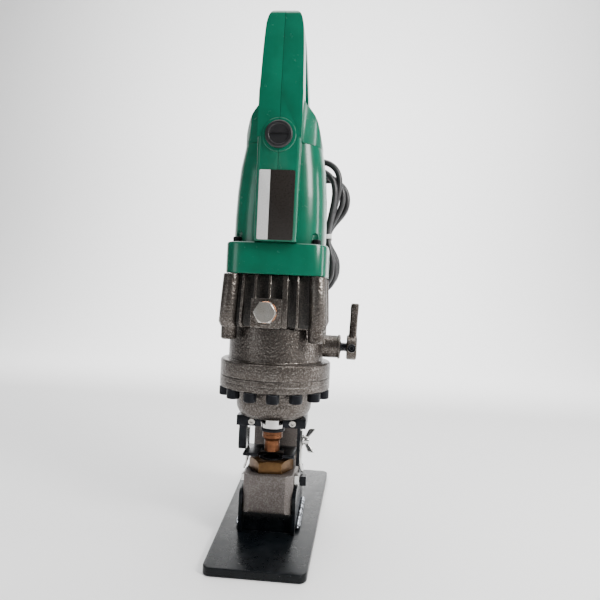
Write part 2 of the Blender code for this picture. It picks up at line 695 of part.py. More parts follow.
def make_motor():
    case = build("motor_case", case_skin, "green_plastic")
    lower = [(0, 260), (40, 260), (40, 284), (0, 284)]
    upper = [(0, 299), (36, 299), (38.5, 304), (38.5, 345), (37.2, 372), (31, CASE_TOP + 1),
             (0, CASE_TOP + 1)]
    bearing_seat = [(0, 280), (11.3, 280), (11.3, 292), (5.5, 292), (5.5, 301), (0, 301)]
    cut(case, lambda m: turned(m, lower, sides=16))
    cut(case, lambda m: turned(m, upper, sides=16))
    cut(case, lambda m: turned(m, bearing_seat, sides=16))
    cut(case, lambda m: block(m, (-8, -60, 391), (8, 60, 400)))

    def case_screw_holes(mesh):
        for x in (-38.8, 38.8):
            for y in (-38.8, 38.8):
                turned(mesh, [(0, 290), (3.1, 290), (3.1, COLLAR_TOP), (5.2, COLLAR_TOP), (5.2, 330), (0, 330)],
                       (x, y), sides=10)

    cut(case, case_screw_holes)

    tie = [rectangle((-half, -half), (half, half)) for half in (39.8, 37.8)]
    fitted = build("case_screws", lambda m: hoop(m, *tie, 292.5, 294.5), "black_oxide")
    room = [rectangle((-half, -half), (half, half)) for half in (40.2, 37.4)]
    cut(case, lambda m: hoop(m, *room, 292.1, 294.9))

    def case_screws(mesh):
        for x in (-38.8, 38.8):
            for y in (-38.8, 38.8):
                turned(mesh, [(0, 291), (2.6, 291), (2.6, COLLAR_TOP + GAP), (4.3, COLLAR_TOP + GAP),
                              (4.3, COLLAR_TOP + 4.8), (0, COLLAR_TOP + 4.8)], (x, y), sides=10)

    add(fitted, case_screws)

    def race(low):
        return [(4.3, low), (11, low), (11, low + 7), (4.3, low + 7)]

    build("motor_bearing_bottom", lambda m: turned(m, race(284.3), sides=16), "chrome")
    build("motor_bearing_top", lambda m: turned(m, race(412.5), sides=16), "chrome")

    blades = []
    for blade in range(9):
        middle = blade * 40
        blades += arc((0, 0), 9, middle - 12, middle - 12, 1)[:1]
        blades += arc((0, 0), 33, middle - 2, middle + 2, 1)
        blades += arc((0, 0), 9, middle + 12, middle + 12, 1)[:1]
    fan = build("motor_fan", lambda m: prism(m, blades, 301.5, 311), "black_plastic")
    add(fan, lambda m: cylinder(m, 35, 300, 302, sides=16))
    cut(fan, lambda m: cylinder(m, 4.3, 290, 320, sides=16))
    core = [(4.3, 326), (21.5, 326), (21.5, 378), (4.3, 378)]
    build("armature_core", lambda m: turned(m, core, sides=16), "copper")
    segments = [(4.3, 393), (12, 393), (12, 408), (4.3, 408)]
    build("commutator", lambda m: turned(m, segments, sides=16), "copper")
    laminations = [(23, 328), (36, 328), (36, 374), (23, 374)]
    build("stator", lambda m: turned(m, laminations, sides=16), "grey_steel")

    for side, name in ((-1, "front"), (1, "rear")):
        low, high = sorted((side * 12.4, side * 27))
        build(f"carbon_brush_{name}", lambda m: block(m, (-3, low, 396), (3, high, 404)), "carbon")


# ---------------------------------------------------------------- handle

BRUSH_HEIGHT = 400.0
LOCK_SPOT = (-42.0, 455.0)
TRIGGER_LOW, TRIGGER_HIGH = 464.5, 495.5
SHELL_SCREWS = {"upper": (-15.0, 508.0), "lower": (-51.0, 382.0)}
CORD_EXIT = Vector((0, 46, 423))
CORD_DIRECTION = Vector((0, 0.573, -0.819)).normalized()
BOOT_RADIUS = 7.4


def make_handle():
    """Two clamshell halves: the spine down the front, the shoulders, and the D-shaped grip."""
    seam = CASE_TOP + GAP
    side = rounded([(SPINE_FRONT, seam - 6), (39, seam - 6), (38.5, 416), (56, 430), (56, 452),
                    (-22, HANDLE_TOP), (-51, HANDLE_TOP), (SPINE_FRONT + 0.5, 440)],
                   [0, 3, 2, 6, 16, 14, 7, 30], 4)
    opening = rounded([(-26, 431), (28, 431), (34, 441), (-20, 503), (-26, 503)], [8, 6, 6, 5, 3], 4)
    front = [(41.5, seam - 1), (38.6, 405), (36.8, 413), (33.5, 424), (27, 432.5),
             (22.3, 437.5), (20.6, 445), (19.4, 480),
             (18.2, 502), (17.2, 510), (15, 516.5), (12, 520), (8, 521.7)]
    wire_way = [(20, 402), (30, 402), (50, 426), (50, 449), (0, 494), (0, 484), (42, 446), (42, 428),
                (20, 412)]
    grip_way = [(-54.5, 412), (-29.5, 412), (-29.5, 506), (-48.5, 506), (-54.2, 440)]
    half_plan = [(20.9, -70), (20.9, -38.5), (31.3, -31.3), (37.5, -21), (39.3, -8), (39.3, 8), (37.5, 21),
                 (31.3, 31.3), (23, 37.5), (23, 70)]
    plan = half_plan + [(-x, y) for x, y in reversed(half_plan)]

    for sign, name in ((-1, "handle_left"), (1, "handle_right")):
        past = -6 * sign
        other_side = sorted((sign * GAP / 2, -30 * sign))
        face = [(past, seam - 8), (sign * 42, seam - 8)] + [(sign * x, z) for x, z in front]
        face.append((past, HANDLE_TOP + 1))
        tongue = rounded([(past, SPINE_FRONT), (sign * SPINE_HALF, SPINE_FRONT), (sign * SPINE_HALF, -30),
                          (past, -30)], [0, 4, 0, 0])

        shell = build(name, lambda m: prism(m, side, past, sign * 40, "X"), "green_plastic")
        cut(shell, lambda m: prism(m, opening, -50, 50, "X"))
        keep(shell, lambda m: prism(m, face, -80, 80, "Y"))
        keep(shell, lambda m: prism(m, plan, 380, 540))
        bevel(shell, 3.0, 40, 2)
        cut(shell, lambda m: block(m, (-60, -80, 380), (60, 80, seam)))
        add(shell, lambda m: prism(m, tongue, COLLAR_TOP + GAP, 404))
        cut(shell, lambda m: case_skin(m, GAP, COLLAR_TOP))
        add(shell, lambda m: cylinder(m, 16.2, SPINE_FRONT - 1.5, -50, (0, BRUSH_HEIGHT), "Y", 24))
        cut(shell, lambda m: block(m, (other_side[0], -80, 280), (other_side[1], 80, 540)))
        cut(shell, lambda m: prism(m, grip_way, -12.5, 12.5, "X"))
        cut(shell, lambda m: block(m, (-16.5, -45, 390), (16.5, 30, 422)))
        cut(shell, lambda m: prism(m, wire_way, -11, 11, "X"))
        cut(shell, lambda m: block(m, (-SPINE_HALF + WALL, -54.5, 304), (SPINE_HALF - WALL, -49, 376)))
        cut(shell, lambda m: cylinder(m, 10.4, -70, -40, (0, BRUSH_HEIGHT), "Y", 24))
        cut(shell, lambda m: block(m, (-6.4, -33, TRIGGER_LOW - 0.4), (6.4, -20, TRIGGER_HIGH + 0.4)))
        cut(shell, lambda m: along_exit(m, ((-12, BOOT_RADIUS + GAP), (6, BOOT_RADIUS + GAP))))
        cut(shell, lambda m: cylinder(m, 4.5, -40, -8, LOCK_SPOT, "X", 16))
        cut(shell, screw_ways)

    fit_handle()


def screw_ways(mesh):
    """The holes of the handle screws, which go in from the left."""
    for spot in SHELL_SCREWS.values():
        turned(mesh, [(0, -40), (3.8, -40), (3.8, -8.7), (2.35, -8.7), (2.35, 9.5), (0, 9.5)], spot, "X", 12)


def along_exit(mesh, profile):
    """A round bar along the cord's exit direction, from (reach, radius) pairs."""
    across = Vector((1, 0, 0))
    up = CORD_DIRECTION.cross(across)
    rings = []
    for reach, radius in profile:
        middle = CORD_EXIT + CORD_DIRECTION * reach
        rings.append([middle + (across * a + up * b) for a, b in polygon(12, radius)])
    skin(mesh, rings)


def fit_handle():
    """What sits in and on the handle."""
    plate = rectangle((-17, 301.5), (17, 367), 1.5, 2)
    build("rating_plate", lambda m: prism(m, plate, SPINE_FRONT - GAP - 0.6, SPINE_FRONT - GAP, "Y"), "label")

    cap = [(0, -62.5), (12.2, -62.5), (13, -61.7), (13, -59.8), (10, -59.8), (10, -48), (0, -48)]
    spot = (0, BRUSH_HEIGHT)
    brush_cap = build("brush_cap_front", lambda m: turned(m, cap, spot, "Y", 20), "black_plastic")
    cut(brush_cap, lambda m: block(m, (-9, -64, BRUSH_HEIGHT - 1.1), (9, -60.7, BRUSH_HEIGHT + 1.1)))

    switch = build("trigger_switch", lambda m: block(m, (-9, -48.5, 464), (9, -40, 496)), "black_plastic")
    cut(switch, lambda m: cylinder(m, 3.6, -46, -38, (0, 480), "Y", 12))
    outline = rounded([(-31.5, TRIGGER_LOW), (-14, TRIGGER_LOW), (-12, TRIGGER_HIGH), (-31.5, TRIGGER_HIGH)],
                      [0, 5, 4, 0])
    trigger = build("trigger", lambda m: prism(m, outline, -6, 6, "X"), "black_plastic", (0, -31.5, 480))
    cut(trigger, lambda m: cylinder(m, 40, -20, 20, (24, 480), "X", 20))
    coil = [(x, y, z + 480) for x, z, y in helix(2.6, -39.2, -32.3, 3, 8)]
    build("trigger_spring", lambda m: tube_along(m, coil, 0.45, 4), "zinc", (0, -39.7, 480))

    button = build("lock_button", lambda m: cylinder(m, 4.2, -22, -10.5, LOCK_SPOT, "X", 16),
                   "black_plastic", (-22, *LOCK_SPOT))
    bevel(button, 0.6)

    screw = [(0, -10.8), (1.2, -10.8), (1.2, -12), (3.4, -12), (3.4, -9), (2, -9), (2, 9), (0, 9)]
    for name, spot in SHELL_SCREWS.items():
        build(f"handle_screw_{name}", lambda m: turned(m, screw, spot, "X", 10), "zinc")


# ---------------------------------------------------------------- cord

CORD_ROUTE = ((0, 69.1, 390), (0.6, 73.6, 381.5), (3, 77, 370), (7.5, 77.8, 359), (13.3, 76.2, 349.8),
              (17.2, 74.5, 344.6))
HANK_FRONT, HANK_BACK = 58.0, 96.0
HANK_OUTLINE = ((47.5, 319), (56, 341), (69, 361), (69, 386), (55, 401), (40, 405), (25, 401), (11, 386),
                (11, 361), (24, 341), (33, 319), (20, 306), (9.5, 292), (9.5, 271), (20, 257.5), (34, 253.3),
                (48, 257.5), (58.5, 271), (58.5, 292), (52, 306))
TIE_HEIGHT = 319.0
PLUG_X, PLUG_Y, PLUG_TOP = 28.0, 91.0, 252.6


def smooth_curve(points, steps, closed=False):
    """Points on a smooth curve through given points."""
    count = len(points)
    curve = []
    for index in range(count if closed else count - 1):
        if closed:
            four = [Vector(points[(index + step) % count]) for step in (-1, 0, 1, 2)]
        else:
            four = [Vector(points[min(max(index + step, 0), count - 1)]) for step in (-1, 0, 1, 2)]
        before, start, end, after = four
        for step in range(steps):
            t = step / steps
            bend = 2 * start + (end - before) * t
            bend += (2 * before - 5 * start + 4 * end - after) * t ** 2
            bend += (3 * start - before - 3 * end + after) * t ** 3
            curve.append(bend / 2)
    if not closed:
        curve.append(Vector(points[-1]))
    return curve


def make_cord():
    boot = ((-6, BOOT_RADIUS), (6.6, BOOT_RADIUS), (6.6, 9), (10, 9), (11, 6.8), (40, 4.3))
    build("strain_relief", lambda m: along_exit(m, boot), "rubber")

    curve = bpy.data.curves.new("cord_tube", "CURVE")
    curve.dimensions = "3D"
    curve.bevel_depth = CORD_DIAMETER / 2 * MM
    curve.bevel_resolution = 2
    curve.use_fill_caps = True
    path = smooth_curve(CORD_ROUTE, 2)
    spline = curve.splines.new("POLY")
    spline.points.add(len(path) - 1)
    for point, place in zip(spline.points, path):
        point.co = (*(place * MM), 1)
    curve.materials.append(material("rubber"))
    bpy.context.scene.collection.objects.link(bpy.data.objects.new("cord_tube", curve))

    outline = smooth_curve(HANK_OUTLINE, 2, closed=True)
    build("cord_hank", lambda m: prism(m, outline, HANK_FRONT, HANK_BACK, "Y"), "rubber")

    low, high = TIE_HEIGHT - 2.6, TIE_HEIGHT + 2.6
    front, back = HANK_FRONT - 2, HANK_BACK + 2
    tie = build("hank_tie", lambda m: block(m, (29.6, front, low), (50.9, back, high)), "tie")
    cut(tie, lambda m: block(m, (31.0, front + 1.6, low - 9), (49.6, back - 1.6, high + 9)))

    body = [(0, PLUG_TOP), (4.4, PLUG_TOP), (5.6, 240), (11, 234), (12.5, 229), (12.5, 213), (11, 209),
            (0, 209)]
    plug = build("plug", lambda m: turned(m, body, (PLUG_X, PLUG_Y), sides=18), "black_plastic")

    def pins(mesh):
        for side in (-1, 1):
            cylinder(mesh, 2.3, 190, 212, (PLUG_X + side * 7.5, PLUG_Y), sides=10)

    add(plug, pins)


# ---------------------------------------------------------------- all of it

for old in list(bpy.data.objects):
    bpy.data.objects.remove(old)
make_stand()
make_jaw()
make_tooling()
make_hydraulics()
make_release()
make_drive()
make_stripper()
make_motor()
make_handle()
make_cord()
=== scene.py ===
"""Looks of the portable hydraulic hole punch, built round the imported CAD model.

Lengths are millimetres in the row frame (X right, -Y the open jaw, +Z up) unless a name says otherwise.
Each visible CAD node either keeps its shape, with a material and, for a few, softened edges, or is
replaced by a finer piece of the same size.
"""

import functools
import json
import math

import bmesh
import bpy
from mathutils import Matrix, Vector, noise


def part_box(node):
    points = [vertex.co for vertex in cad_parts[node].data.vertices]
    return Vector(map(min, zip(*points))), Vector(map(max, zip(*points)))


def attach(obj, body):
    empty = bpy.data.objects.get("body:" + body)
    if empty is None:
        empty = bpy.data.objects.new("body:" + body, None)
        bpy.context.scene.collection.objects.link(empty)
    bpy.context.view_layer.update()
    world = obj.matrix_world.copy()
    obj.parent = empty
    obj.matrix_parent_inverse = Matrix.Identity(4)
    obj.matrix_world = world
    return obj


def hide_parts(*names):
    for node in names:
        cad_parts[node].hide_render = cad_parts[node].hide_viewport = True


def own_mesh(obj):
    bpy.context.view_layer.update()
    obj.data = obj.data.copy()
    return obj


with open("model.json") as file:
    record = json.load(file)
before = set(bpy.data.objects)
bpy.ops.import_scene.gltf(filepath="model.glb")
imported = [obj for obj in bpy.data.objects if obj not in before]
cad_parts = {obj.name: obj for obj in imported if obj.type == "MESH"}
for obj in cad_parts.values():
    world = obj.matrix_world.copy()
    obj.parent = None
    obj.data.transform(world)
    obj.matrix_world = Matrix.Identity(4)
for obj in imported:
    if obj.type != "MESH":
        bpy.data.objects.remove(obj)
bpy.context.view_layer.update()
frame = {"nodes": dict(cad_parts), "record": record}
nodes = frame["nodes"]

MM = 0.001
NODE_SLOT = {entry["node"]: entry["material_slot"] for entry in frame["record"]["subparts"]}


def low(node):
    """A CAD node's lowest corner, in millimetres."""
    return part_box(node)[0] / MM


def high(node):
    """A CAD node's highest corner, in millimetres."""
    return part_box(node)[1] / MM


# ---- outlines

def arc(centre, radius, start, stop, steps):
    """Points on an arc in a plane, from one angle in degrees to another."""
    points = []
    for step in range(steps + 1):
        angle = math.radians(start + (stop - start) * step / steps)
        points.append((centre[0] + radius * math.cos(angle), centre[1] + radius * math.sin(angle)))
    return points


def rounded(points, radius, steps=8):
    """An outline with its corners rounded; radius is one number, or one for each corner."""
    radii = radius if isinstance(radius, (list, tuple)) else [radius] * len(points)
    outline = []
    for index, corner in enumerate(points):
        here = Vector(corner)
        before = Vector(points[index - 1]) - here
        after = Vector(points[(index + 1) % len(points)]) - here
        if radii[index] <= 0:
            outline.append(tuple(here))
            continue
        half = before.angle(after) / 2
        reach = radii[index] / math.tan(half)
        first = here + before.normalized() * reach
        last = here + after.normalized() * reach
        inward = (before.normalized() + after.normalized()).normalized()
        middle = here + inward * radii[index] / math.sin(half)
        sweep = (first - middle).angle_signed(last - middle)
        for step in range(steps + 1):
            turn = Matrix.Rotation(-sweep * step / steps, 2)
            outline.append(tuple(middle + turn @ (first - middle)))
    return outline


def rectangle(low_corner, high_corner, radius=0.0, steps=8):
    """A rectangle between two corners, rounded if a radius, or one for each corner, is given."""
    (x0, y0), (x1, y1) = low_corner, high_corner
    outline = [(x0, y0), (x1, y0), (x1, y1), (x0, y1)]
    return rounded(outline, radius, steps) if radius else outline


def polygon(sides, radius, turn=0.0, centre=(0.0, 0.0)):
    """A regular polygon's corners; turn is in degrees."""
    return arc(centre, radius, turn, turn + 360 - 360 / sides, sides - 1)


def squircle(half, power, steps=96):
    """A rounded square whose power sets how square it is."""
    outline = []
    for step in range(steps):
        angle = math.tau * (step + 0.5) / steps
        across, up = math.cos(angle), math.sin(angle)
        reach = half * (abs(across) ** power + abs(up) ** power) ** (-1 / power)
        outline.append((reach * across, reach * up))
    return outline


def smooth_curve(points, steps):
    """Points on a smooth curve through given points."""
    last = len(points) - 1
    curve = []
    for index in range(last):
        four = [min(max(index + step, 0), last) for step in (-1, 0, 1, 2)]
        before, start, end, after = [Vector(points[place]) for place in four]
        for step in range(steps):
            t = step / steps
            bend = 2 * start + (end - before) * t
            bend += (2 * before - 5 * start + 4 * end - after) * t ** 2
            bend += (3 * start - before - 3 * end + after) * t ** 3
            curve.append(bend / 2)
    curve.append(Vector(points[-1]))
    return curve


def filleted(places, radii, steps=10):
    """A path through corners in space, each rounded by its radius; the two ends stay."""
    path = [Vector(places[0])]
    for before, here, after, radius in zip(places, places[1:], places[2:], radii[1:]):
        here = Vector(here)
        back, ahead = Vector(before) - here, Vector(after) - here
        half = back.angle(ahead) / 2
        reach = radius / math.tan(half)
        middle = here + (back.normalized() + ahead.normalized()).normalized() * reach / math.cos(half)
        start = here + back.normalized() * reach - middle
        stop = here + ahead.normalized() * reach - middle
        size = start.length
        for step in range(steps + 1):
            path.append(middle + start.normalized().slerp(stop.normalized(), step / steps) * size)
    path.append(Vector(places[-1]))
    return path


def evenly(path, spacing):
    """Points along a path at about equal steps."""
    lengths = [0.0]
    for before, after in zip(path, path[1:]):
        lengths.append(lengths[-1] + (after - before).length)
    count = round(lengths[-1] / spacing)
    points, index = [], 0
    for step in range(count + 1):
        goal = lengths[-1] * step / count
        while index < len(lengths) - 2 and lengths[index + 1] < goal:
            index += 1
        share = (goal - lengths[index]) / max(lengths[index + 1] - lengths[index], 1e-9)
        points.append(path[index].lerp(path[index + 1], share))
    return points


# ---- solids

def shape(fill):
    """Makes a function that fills a mesh take its values first, and its mesh in a second call."""
    return lambda *values, **named: lambda mesh: fill(mesh, *values, **named)


def rotation(degrees, axis, size=4):
    """A rotation matrix."""
    return Matrix.Rotation(math.radians(degrees), size, axis)


PLANES = {
    "X": lambda a, b, c: (c, a, b),
    "Y": lambda a, b, c: (a, c, b),
    "Z": lambda a, b, c: (a, b, c),
}


@shape
def skin(mesh, rings, closed=False):
    """Joins rings of points with quads, and caps the two ends unless the rings close."""
    made = [[mesh.verts.new(point) for point in ring] for ring in rings]
    pairs = list(zip(made, made[1:]))
    if closed:
        pairs.append((made[-1], made[0]))
    for lower, upper in pairs:
        for index in range(len(lower)):
            after = (index + 1) % len(lower)
            mesh.faces.new((lower[index], lower[after], upper[after], upper[index]))
    if not closed:
        mesh.faces.new(made[0])
        mesh.faces.new(made[-1])


@shape
def prism(mesh, outline, start, stop, axis="Z"):
    """An outline pushed along an axis; its two numbers are the other two axes, in order."""
    place = PLANES[axis]
    skin([[place(a, b, c) for a, b in outline] for c in (start, stop)])(mesh)


@shape
def block(mesh, low_corner, high_corner):
    """A plain box between two corners."""
    prism(rectangle(low_corner[:2], high_corner[:2]), low_corner[2], high_corner[2])(mesh)


@shape
def turned(mesh, profile, centre=(0.0, 0.0), axis="Z", sides=96):
    """(radius, height) points turned about an axis: a solid if both ends are on it, or else a ring."""
    place = PLANES[axis]
    solid = profile[0][0] == 0 and profile[-1][0] == 0
    rings = []
    for radius, height in (profile[1:-1] if solid else profile):
        rings.append([place(a, b, height) for a, b in arc(centre, radius, 0, 360 - 360 / sides, sides - 1)])
    skin(rings, closed=not solid)(mesh)


@shape
def cylinder(mesh, radius, start, stop, centre=(0.0, 0.0), axis="Z", sides=48):
    """A cylinder along an axis."""
    turned([(0, start), (radius, start), (radius, stop), (0, stop)], centre, axis, sides)(mesh)


def together(shapes):
    """One shape out of several."""
    def fill(mesh):
        for each in shapes:
            each(mesh)

    return fill


def corners(reach):
    """The four corners of a square round the upright axis."""
    return [(x, y) for x in (-reach, reach) for y in (-reach, reach)]


# ---- pieces

def mesh_data(name, fill):
    """Mesh data in metres, from a function that fills a mesh in millimetres."""
    mesh = bmesh.new()
    fill(mesh)
    bmesh.ops.recalc_face_normals(mesh, faces=mesh.faces)
    bmesh.ops.scale(mesh, verts=mesh.verts, vec=(MM, MM, MM))
    data = bpy.data.meshes.new(name)
    mesh.to_mesh(data)
    mesh.free()
    return data


def placed(name, data):
    """A new object in the scene."""
    made = bpy.data.objects.new(name, data)
    bpy.context.scene.collection.objects.link(made)
    return made


def shade(data, angle):
    """Smooth shading, but for edges sharper than an angle in degrees."""
    data.shade_smooth()
    data.set_sharp_from_angle(angle=math.radians(angle))


def piece(name, fill, finish, stands_for=(), body="frame", smooth=32):
    """Makes a piece from a function that fills a mesh, and ties it to the CAD."""
    data = mesh_data(name, fill)
    shade(data, smooth)
    data.materials.append(material_of(finish))
    made = placed(name, data)
    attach(made, body)
    if stands_for:
        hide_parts(*stands_for)
    return made


def combine(operation, target, *shapes):
    """Applies a Boolean to a piece with each shape in turn."""
    for fill in shapes:
        data = mesh_data("tool", fill)
        tool = placed("tool", data)
        step = target.modifiers.new(operation.title(), "BOOLEAN")
        step.operation = operation
        step.object = tool
        step.solver = "EXACT"
        settle(target)
        bpy.data.objects.remove(tool)
        bpy.data.meshes.remove(data)


cut = functools.partial(combine, "DIFFERENCE")
add = functools.partial(combine, "UNION")
keep = functools.partial(combine, "INTERSECT")


def settle(target):
    """Turns a piece's modifiers into its mesh."""
    bpy.context.view_layer.update()
    evaluated = target.evaluated_get(bpy.context.evaluated_depsgraph_get())
    made = bpy.data.meshes.new_from_object(evaluated)
    old = target.data
    target.modifiers.clear()
    target.data = made
    bpy.data.meshes.remove(old)
    made.name = target.name


def bevel(target, width, angle=40, segments=3, settled=True):
    """Rounds the sharp edges of a piece."""
    step = target.modifiers.new("Edges", "BEVEL")
    step.width = width * MM
    step.segments = segments
    step.limit_method = "ANGLE"
    step.angle_limit = math.radians(angle)
    step.use_clamp_overlap = True
    step.miter_outer = "MITER_ARC"
    if settled:
        settle(target)
        shade(target.data, 35)


def soften(node, width, angle=35):
    """A CAD node keeps its shape, with its edges rounded by modifiers."""
    target = nodes[node]
    join = target.modifiers.new("Join", "WELD")
    join.merge_threshold = 0.00001
    bevel(target, width, angle, 2, settled=False)


# ---- materials

class Look:
    """A node material in the making: its Principled shader, and the nodes that feed it."""

    def __init__(self, name, colour, roughness, metallic=0.0, coat=0.0, specular=0.5):
        self.material = bpy.data.materials.new(name)
        self.material.use_nodes = True
        self.tree = self.material.node_tree
        self.surface = self.tree.nodes["Principled BSDF"]
        self.set("Base Color", (*colour, 1))
        self.set("Roughness", roughness)
        self.set("Metallic", metallic)
        self.set("Coat Weight", coat)
        self.set("Coat Roughness", 0.12)
        self.set("Specular IOR Level", specular)

    def set(self, key, value):
        """Gives a shader input a value, or a socket to follow."""
        self.link(value, self.surface.inputs[key])

    def link(self, source, target):
        """Gives any input a value, or a socket to follow."""
        if hasattr(source, "is_linked"):
            self.tree.links.new(source, target)
        else:
            target.default_value = source

    def node(self, kind, **settings):
        """A new node, its inputs or properties set by name."""
        made = self.tree.nodes.new("ShaderNode" + kind)
        for key, value in settings.items():
            if key in made.inputs:
                made.inputs[key].default_value = value
            else:
                setattr(made, key, value)
        return made

    def pattern(self, kind, scale, stretch=None, **settings):
        """A texture in object coordinates; scale, or stretch along each axis, is in repeats per metre."""
        made = self.node(kind, Scale=scale, **settings)
        where = self.node("TexCoord").outputs["Object"]
        if stretch:
            mapping = self.node("Mapping", Scale=stretch)
            self.link(where, mapping.inputs["Vector"])
            where = mapping.outputs["Vector"]
        self.link(where, made.inputs["Vector"])
        return made

    def noise(self, scale, **settings):
        """The value of a cloudy noise."""
        return self.pattern("TexNoise", scale, **settings).outputs["Fac"]

    def cells(self, scale, **settings):
        """The distance from the middles of scattered cells."""
        return self.pattern("TexVoronoi", scale, **settings).outputs["Distance"]

    def ramp(self, source, stops):
        """A colour ramp over a value: stops are (position, colour)."""
        made = self.node("ValToRGB")
        self.link(source, made.inputs["Fac"])
        elements = made.color_ramp.elements
        while len(elements) < len(stops):
            elements.new(0.5)
        for element, (position, colour) in zip(elements, stops):
            element.position = position
            element.color = (*colour, 1) if hasattr(colour, "__len__") else (colour, colour, colour, 1)
        return made.outputs["Color"]

    def drive(self, key, source, stops):
        """Feeds a shader input from a ramp over a value."""
        self.set(key, self.ramp(source, stops))

    def bump(self, source, height, strength=1.0, after=None):
        """Adds relief of a height in millimetres, on top of other relief if there is any."""
        made = self.node("Bump", Strength=strength, Distance=height * MM)
        self.link(source, made.inputs["Height"])
        if after:
            self.link(after, made.inputs["Normal"])
        self.set("Normal", made.outputs["Normal"])
        return made.outputs["Normal"]

    def worn_edges(self, radius):
        """A value that is high along the outer edges, where paint or scale has gone."""
        soft = self.node("Bevel", samples=4, Radius=radius * MM)
        plain = self.node("NewGeometry")
        match = self.node("VectorMath", operation="DOT_PRODUCT")
        self.link(soft.outputs["Normal"], match.inputs[0])
        self.link(plain.outputs["Normal"], match.inputs[1])
        rough = self.node("Math", operation="MULTIPLY_ADD")
        self.link(self.noise(900, Detail=4), rough.inputs[0])
        self.link(0.14, rough.inputs[1])
        self.link(match.outputs["Value"], rough.inputs[2])
        return self.ramp(rough.outputs[0], [(0.96, 1.0), (1.03, 0.0)])

    def mixed(self, amount, first, second):
        """Two colours, or colour sockets, mixed by a value."""
        made = self.node("Mix", data_type="RGBA")
        self.link(amount, made.inputs["Factor"])
        for name, value in (("A", first), ("B", second)):
            socket = next(s for s in made.inputs if s.name == name and s.type == "RGBA")
            self.link(value if hasattr(value, "is_linked") else (*value, 1), socket)
        return next(s for s in made.outputs if s.type == "RGBA")


def green_plastic(name):
    """Moulded green plastic: faint clouds, smears and orange peel."""
    look = Look(name, (0.004, 0.16, 0.085), 0.27, coat=0.25, specular=0.35)
    cloud = look.noise(28, Detail=5, Roughness=0.6)
    look.drive("Base Color", cloud, [(0.3, (0.0, 0.088, 0.048)), (0.7, (0.0, 0.118, 0.066))])
    smear = look.noise(120, Detail=6, Roughness=0.7)
    look.drive("Roughness", smear, [(0.3, 0.24), (0.8, 0.29)])
    look.bump(look.noise(900, Detail=2), 0.05, 0.5)
    return look.material


def cast_steel(name):
    """Hammer-tone metallic paint: rounded dimples, brown-grey with bright flecks."""
    look = Look(name, (0.2, 0.18, 0.16), 0.35, 0.9)
    cells = look.cells(480, feature="SMOOTH_F1")
    cloud = look.noise(22, Detail=6, Roughness=0.65)
    fleck = look.noise(750, Detail=4)
    colour = look.ramp(cloud, [(0.3, (0.045, 0.035, 0.03)), (0.55, (0.085, 0.073, 0.065)),
                               (0.75, (0.125, 0.117, 0.107))])
    colour = look.mixed(look.ramp(fleck, [(0.48, 0.0), (0.68, 0.6)]), colour, (0.25, 0.235, 0.215))
    look.set("Base Color", look.mixed(look.worn_edges(0.6), colour, (0.42, 0.4, 0.37)))
    look.drive("Roughness", fleck, [(0.35, 0.44), (0.65, 0.28)])
    look.bump(fleck, 0.2, 0.55, after=look.bump(cells, 0.7, 0.65))
    return look.material


def cast_shadow(name):
    """Painted shade for the floors of the cooling channels: near black, with a little metal grain."""
    look = Look(name, (0.012, 0.011, 0.01), 0.45, 0.4)
    grain = look.noise(800, Detail=4)
    look.drive("Base Color", grain, [(0.4, (0.008, 0.007, 0.006)), (0.75, (0.05, 0.042, 0.036))])
    look.bump(grain, 0.25, 0.6)
    return look.material


def grey_steel(name):
    """Blasted steel: an even fine grain, taupe, brighter along the edges."""
    look = Look(name, (0.27, 0.24, 0.225), 0.55, 0.55)
    cloud = look.noise(35, Detail=6, Roughness=0.7)
    grain = look.noise(900, Detail=5)
    colour = look.ramp(cloud, [(0.3, (0.085, 0.07, 0.064)), (0.72, (0.14, 0.122, 0.114))])
    colour = look.mixed(look.ramp(grain, [(0.46, 0.0), (0.68, 0.6)]), colour, (0.24, 0.222, 0.21))
    look.set("Base Color", look.mixed(look.worn_edges(0.6), colour, (0.6, 0.585, 0.57)))
    look.drive("Roughness", cloud, [(0.3, 0.6), (0.7, 0.46)])
    look.bump(grain, 0.16, 0.6)
    return look.material


def black_paint(name):
    """Brushed-on gloss black, with fine dust and scratches."""
    look = Look(name, (0.004, 0.005, 0.006), 0.3, specular=0.16)
    dust = look.noise(60, Detail=8, Roughness=0.75)
    colour = look.ramp(dust, [(0.5, (0.002, 0.003, 0.004)), (0.85, (0.012, 0.014, 0.017))])
    dots = look.ramp(look.cells(240, Randomness=1.0), [(0.03, 0.5), (0.075, 0.0)])
    look.set("Base Color", look.mixed(dots, colour, (0.16, 0.17, 0.18)))
    look.drive("Roughness", dust, [(0.35, 0.22), (0.75, 0.42)])
    look.bump(look.noise(140, Detail=3, Distortion=0.4), 0.14, 0.45)
    return look.material


def oxide(name, colour, edge, roughness):
    """Blackened or tinted steel with a fine grain and bright worn edges."""
    look = Look(name, colour, roughness, 0.8)
    cloud = look.noise(160, Detail=6, Roughness=0.7)
    darker = tuple(value * 0.6 for value in colour)
    plain = look.ramp(cloud, [(0.3, darker), (0.7, colour)])
    look.set("Base Color", look.mixed(look.worn_edges(0.35), plain, edge))
    look.drive("Roughness", cloud, [(0.3, roughness + 0.12), (0.7, max(roughness - 0.08, 0.05))])
    look.bump(look.noise(1600, Detail=2), 0.05, 0.5)
    return look.material


def bright(name, colour, roughness, tint, streaks):
    """Plated metal: hairline streaks along one axis, and a faint cloudy tint."""
    look = Look(name, colour, roughness, 1.0)
    look.drive("Base Color", look.noise(70, Detail=5), [(0.35, tint), (0.65, colour)])
    lines = look.noise(1, stretch=streaks, Detail=4)
    look.drive("Roughness", lines, [(0.3, roughness), (0.75, roughness + 0.16)])
    look.bump(lines, 0.02, 0.5)
    return look.material


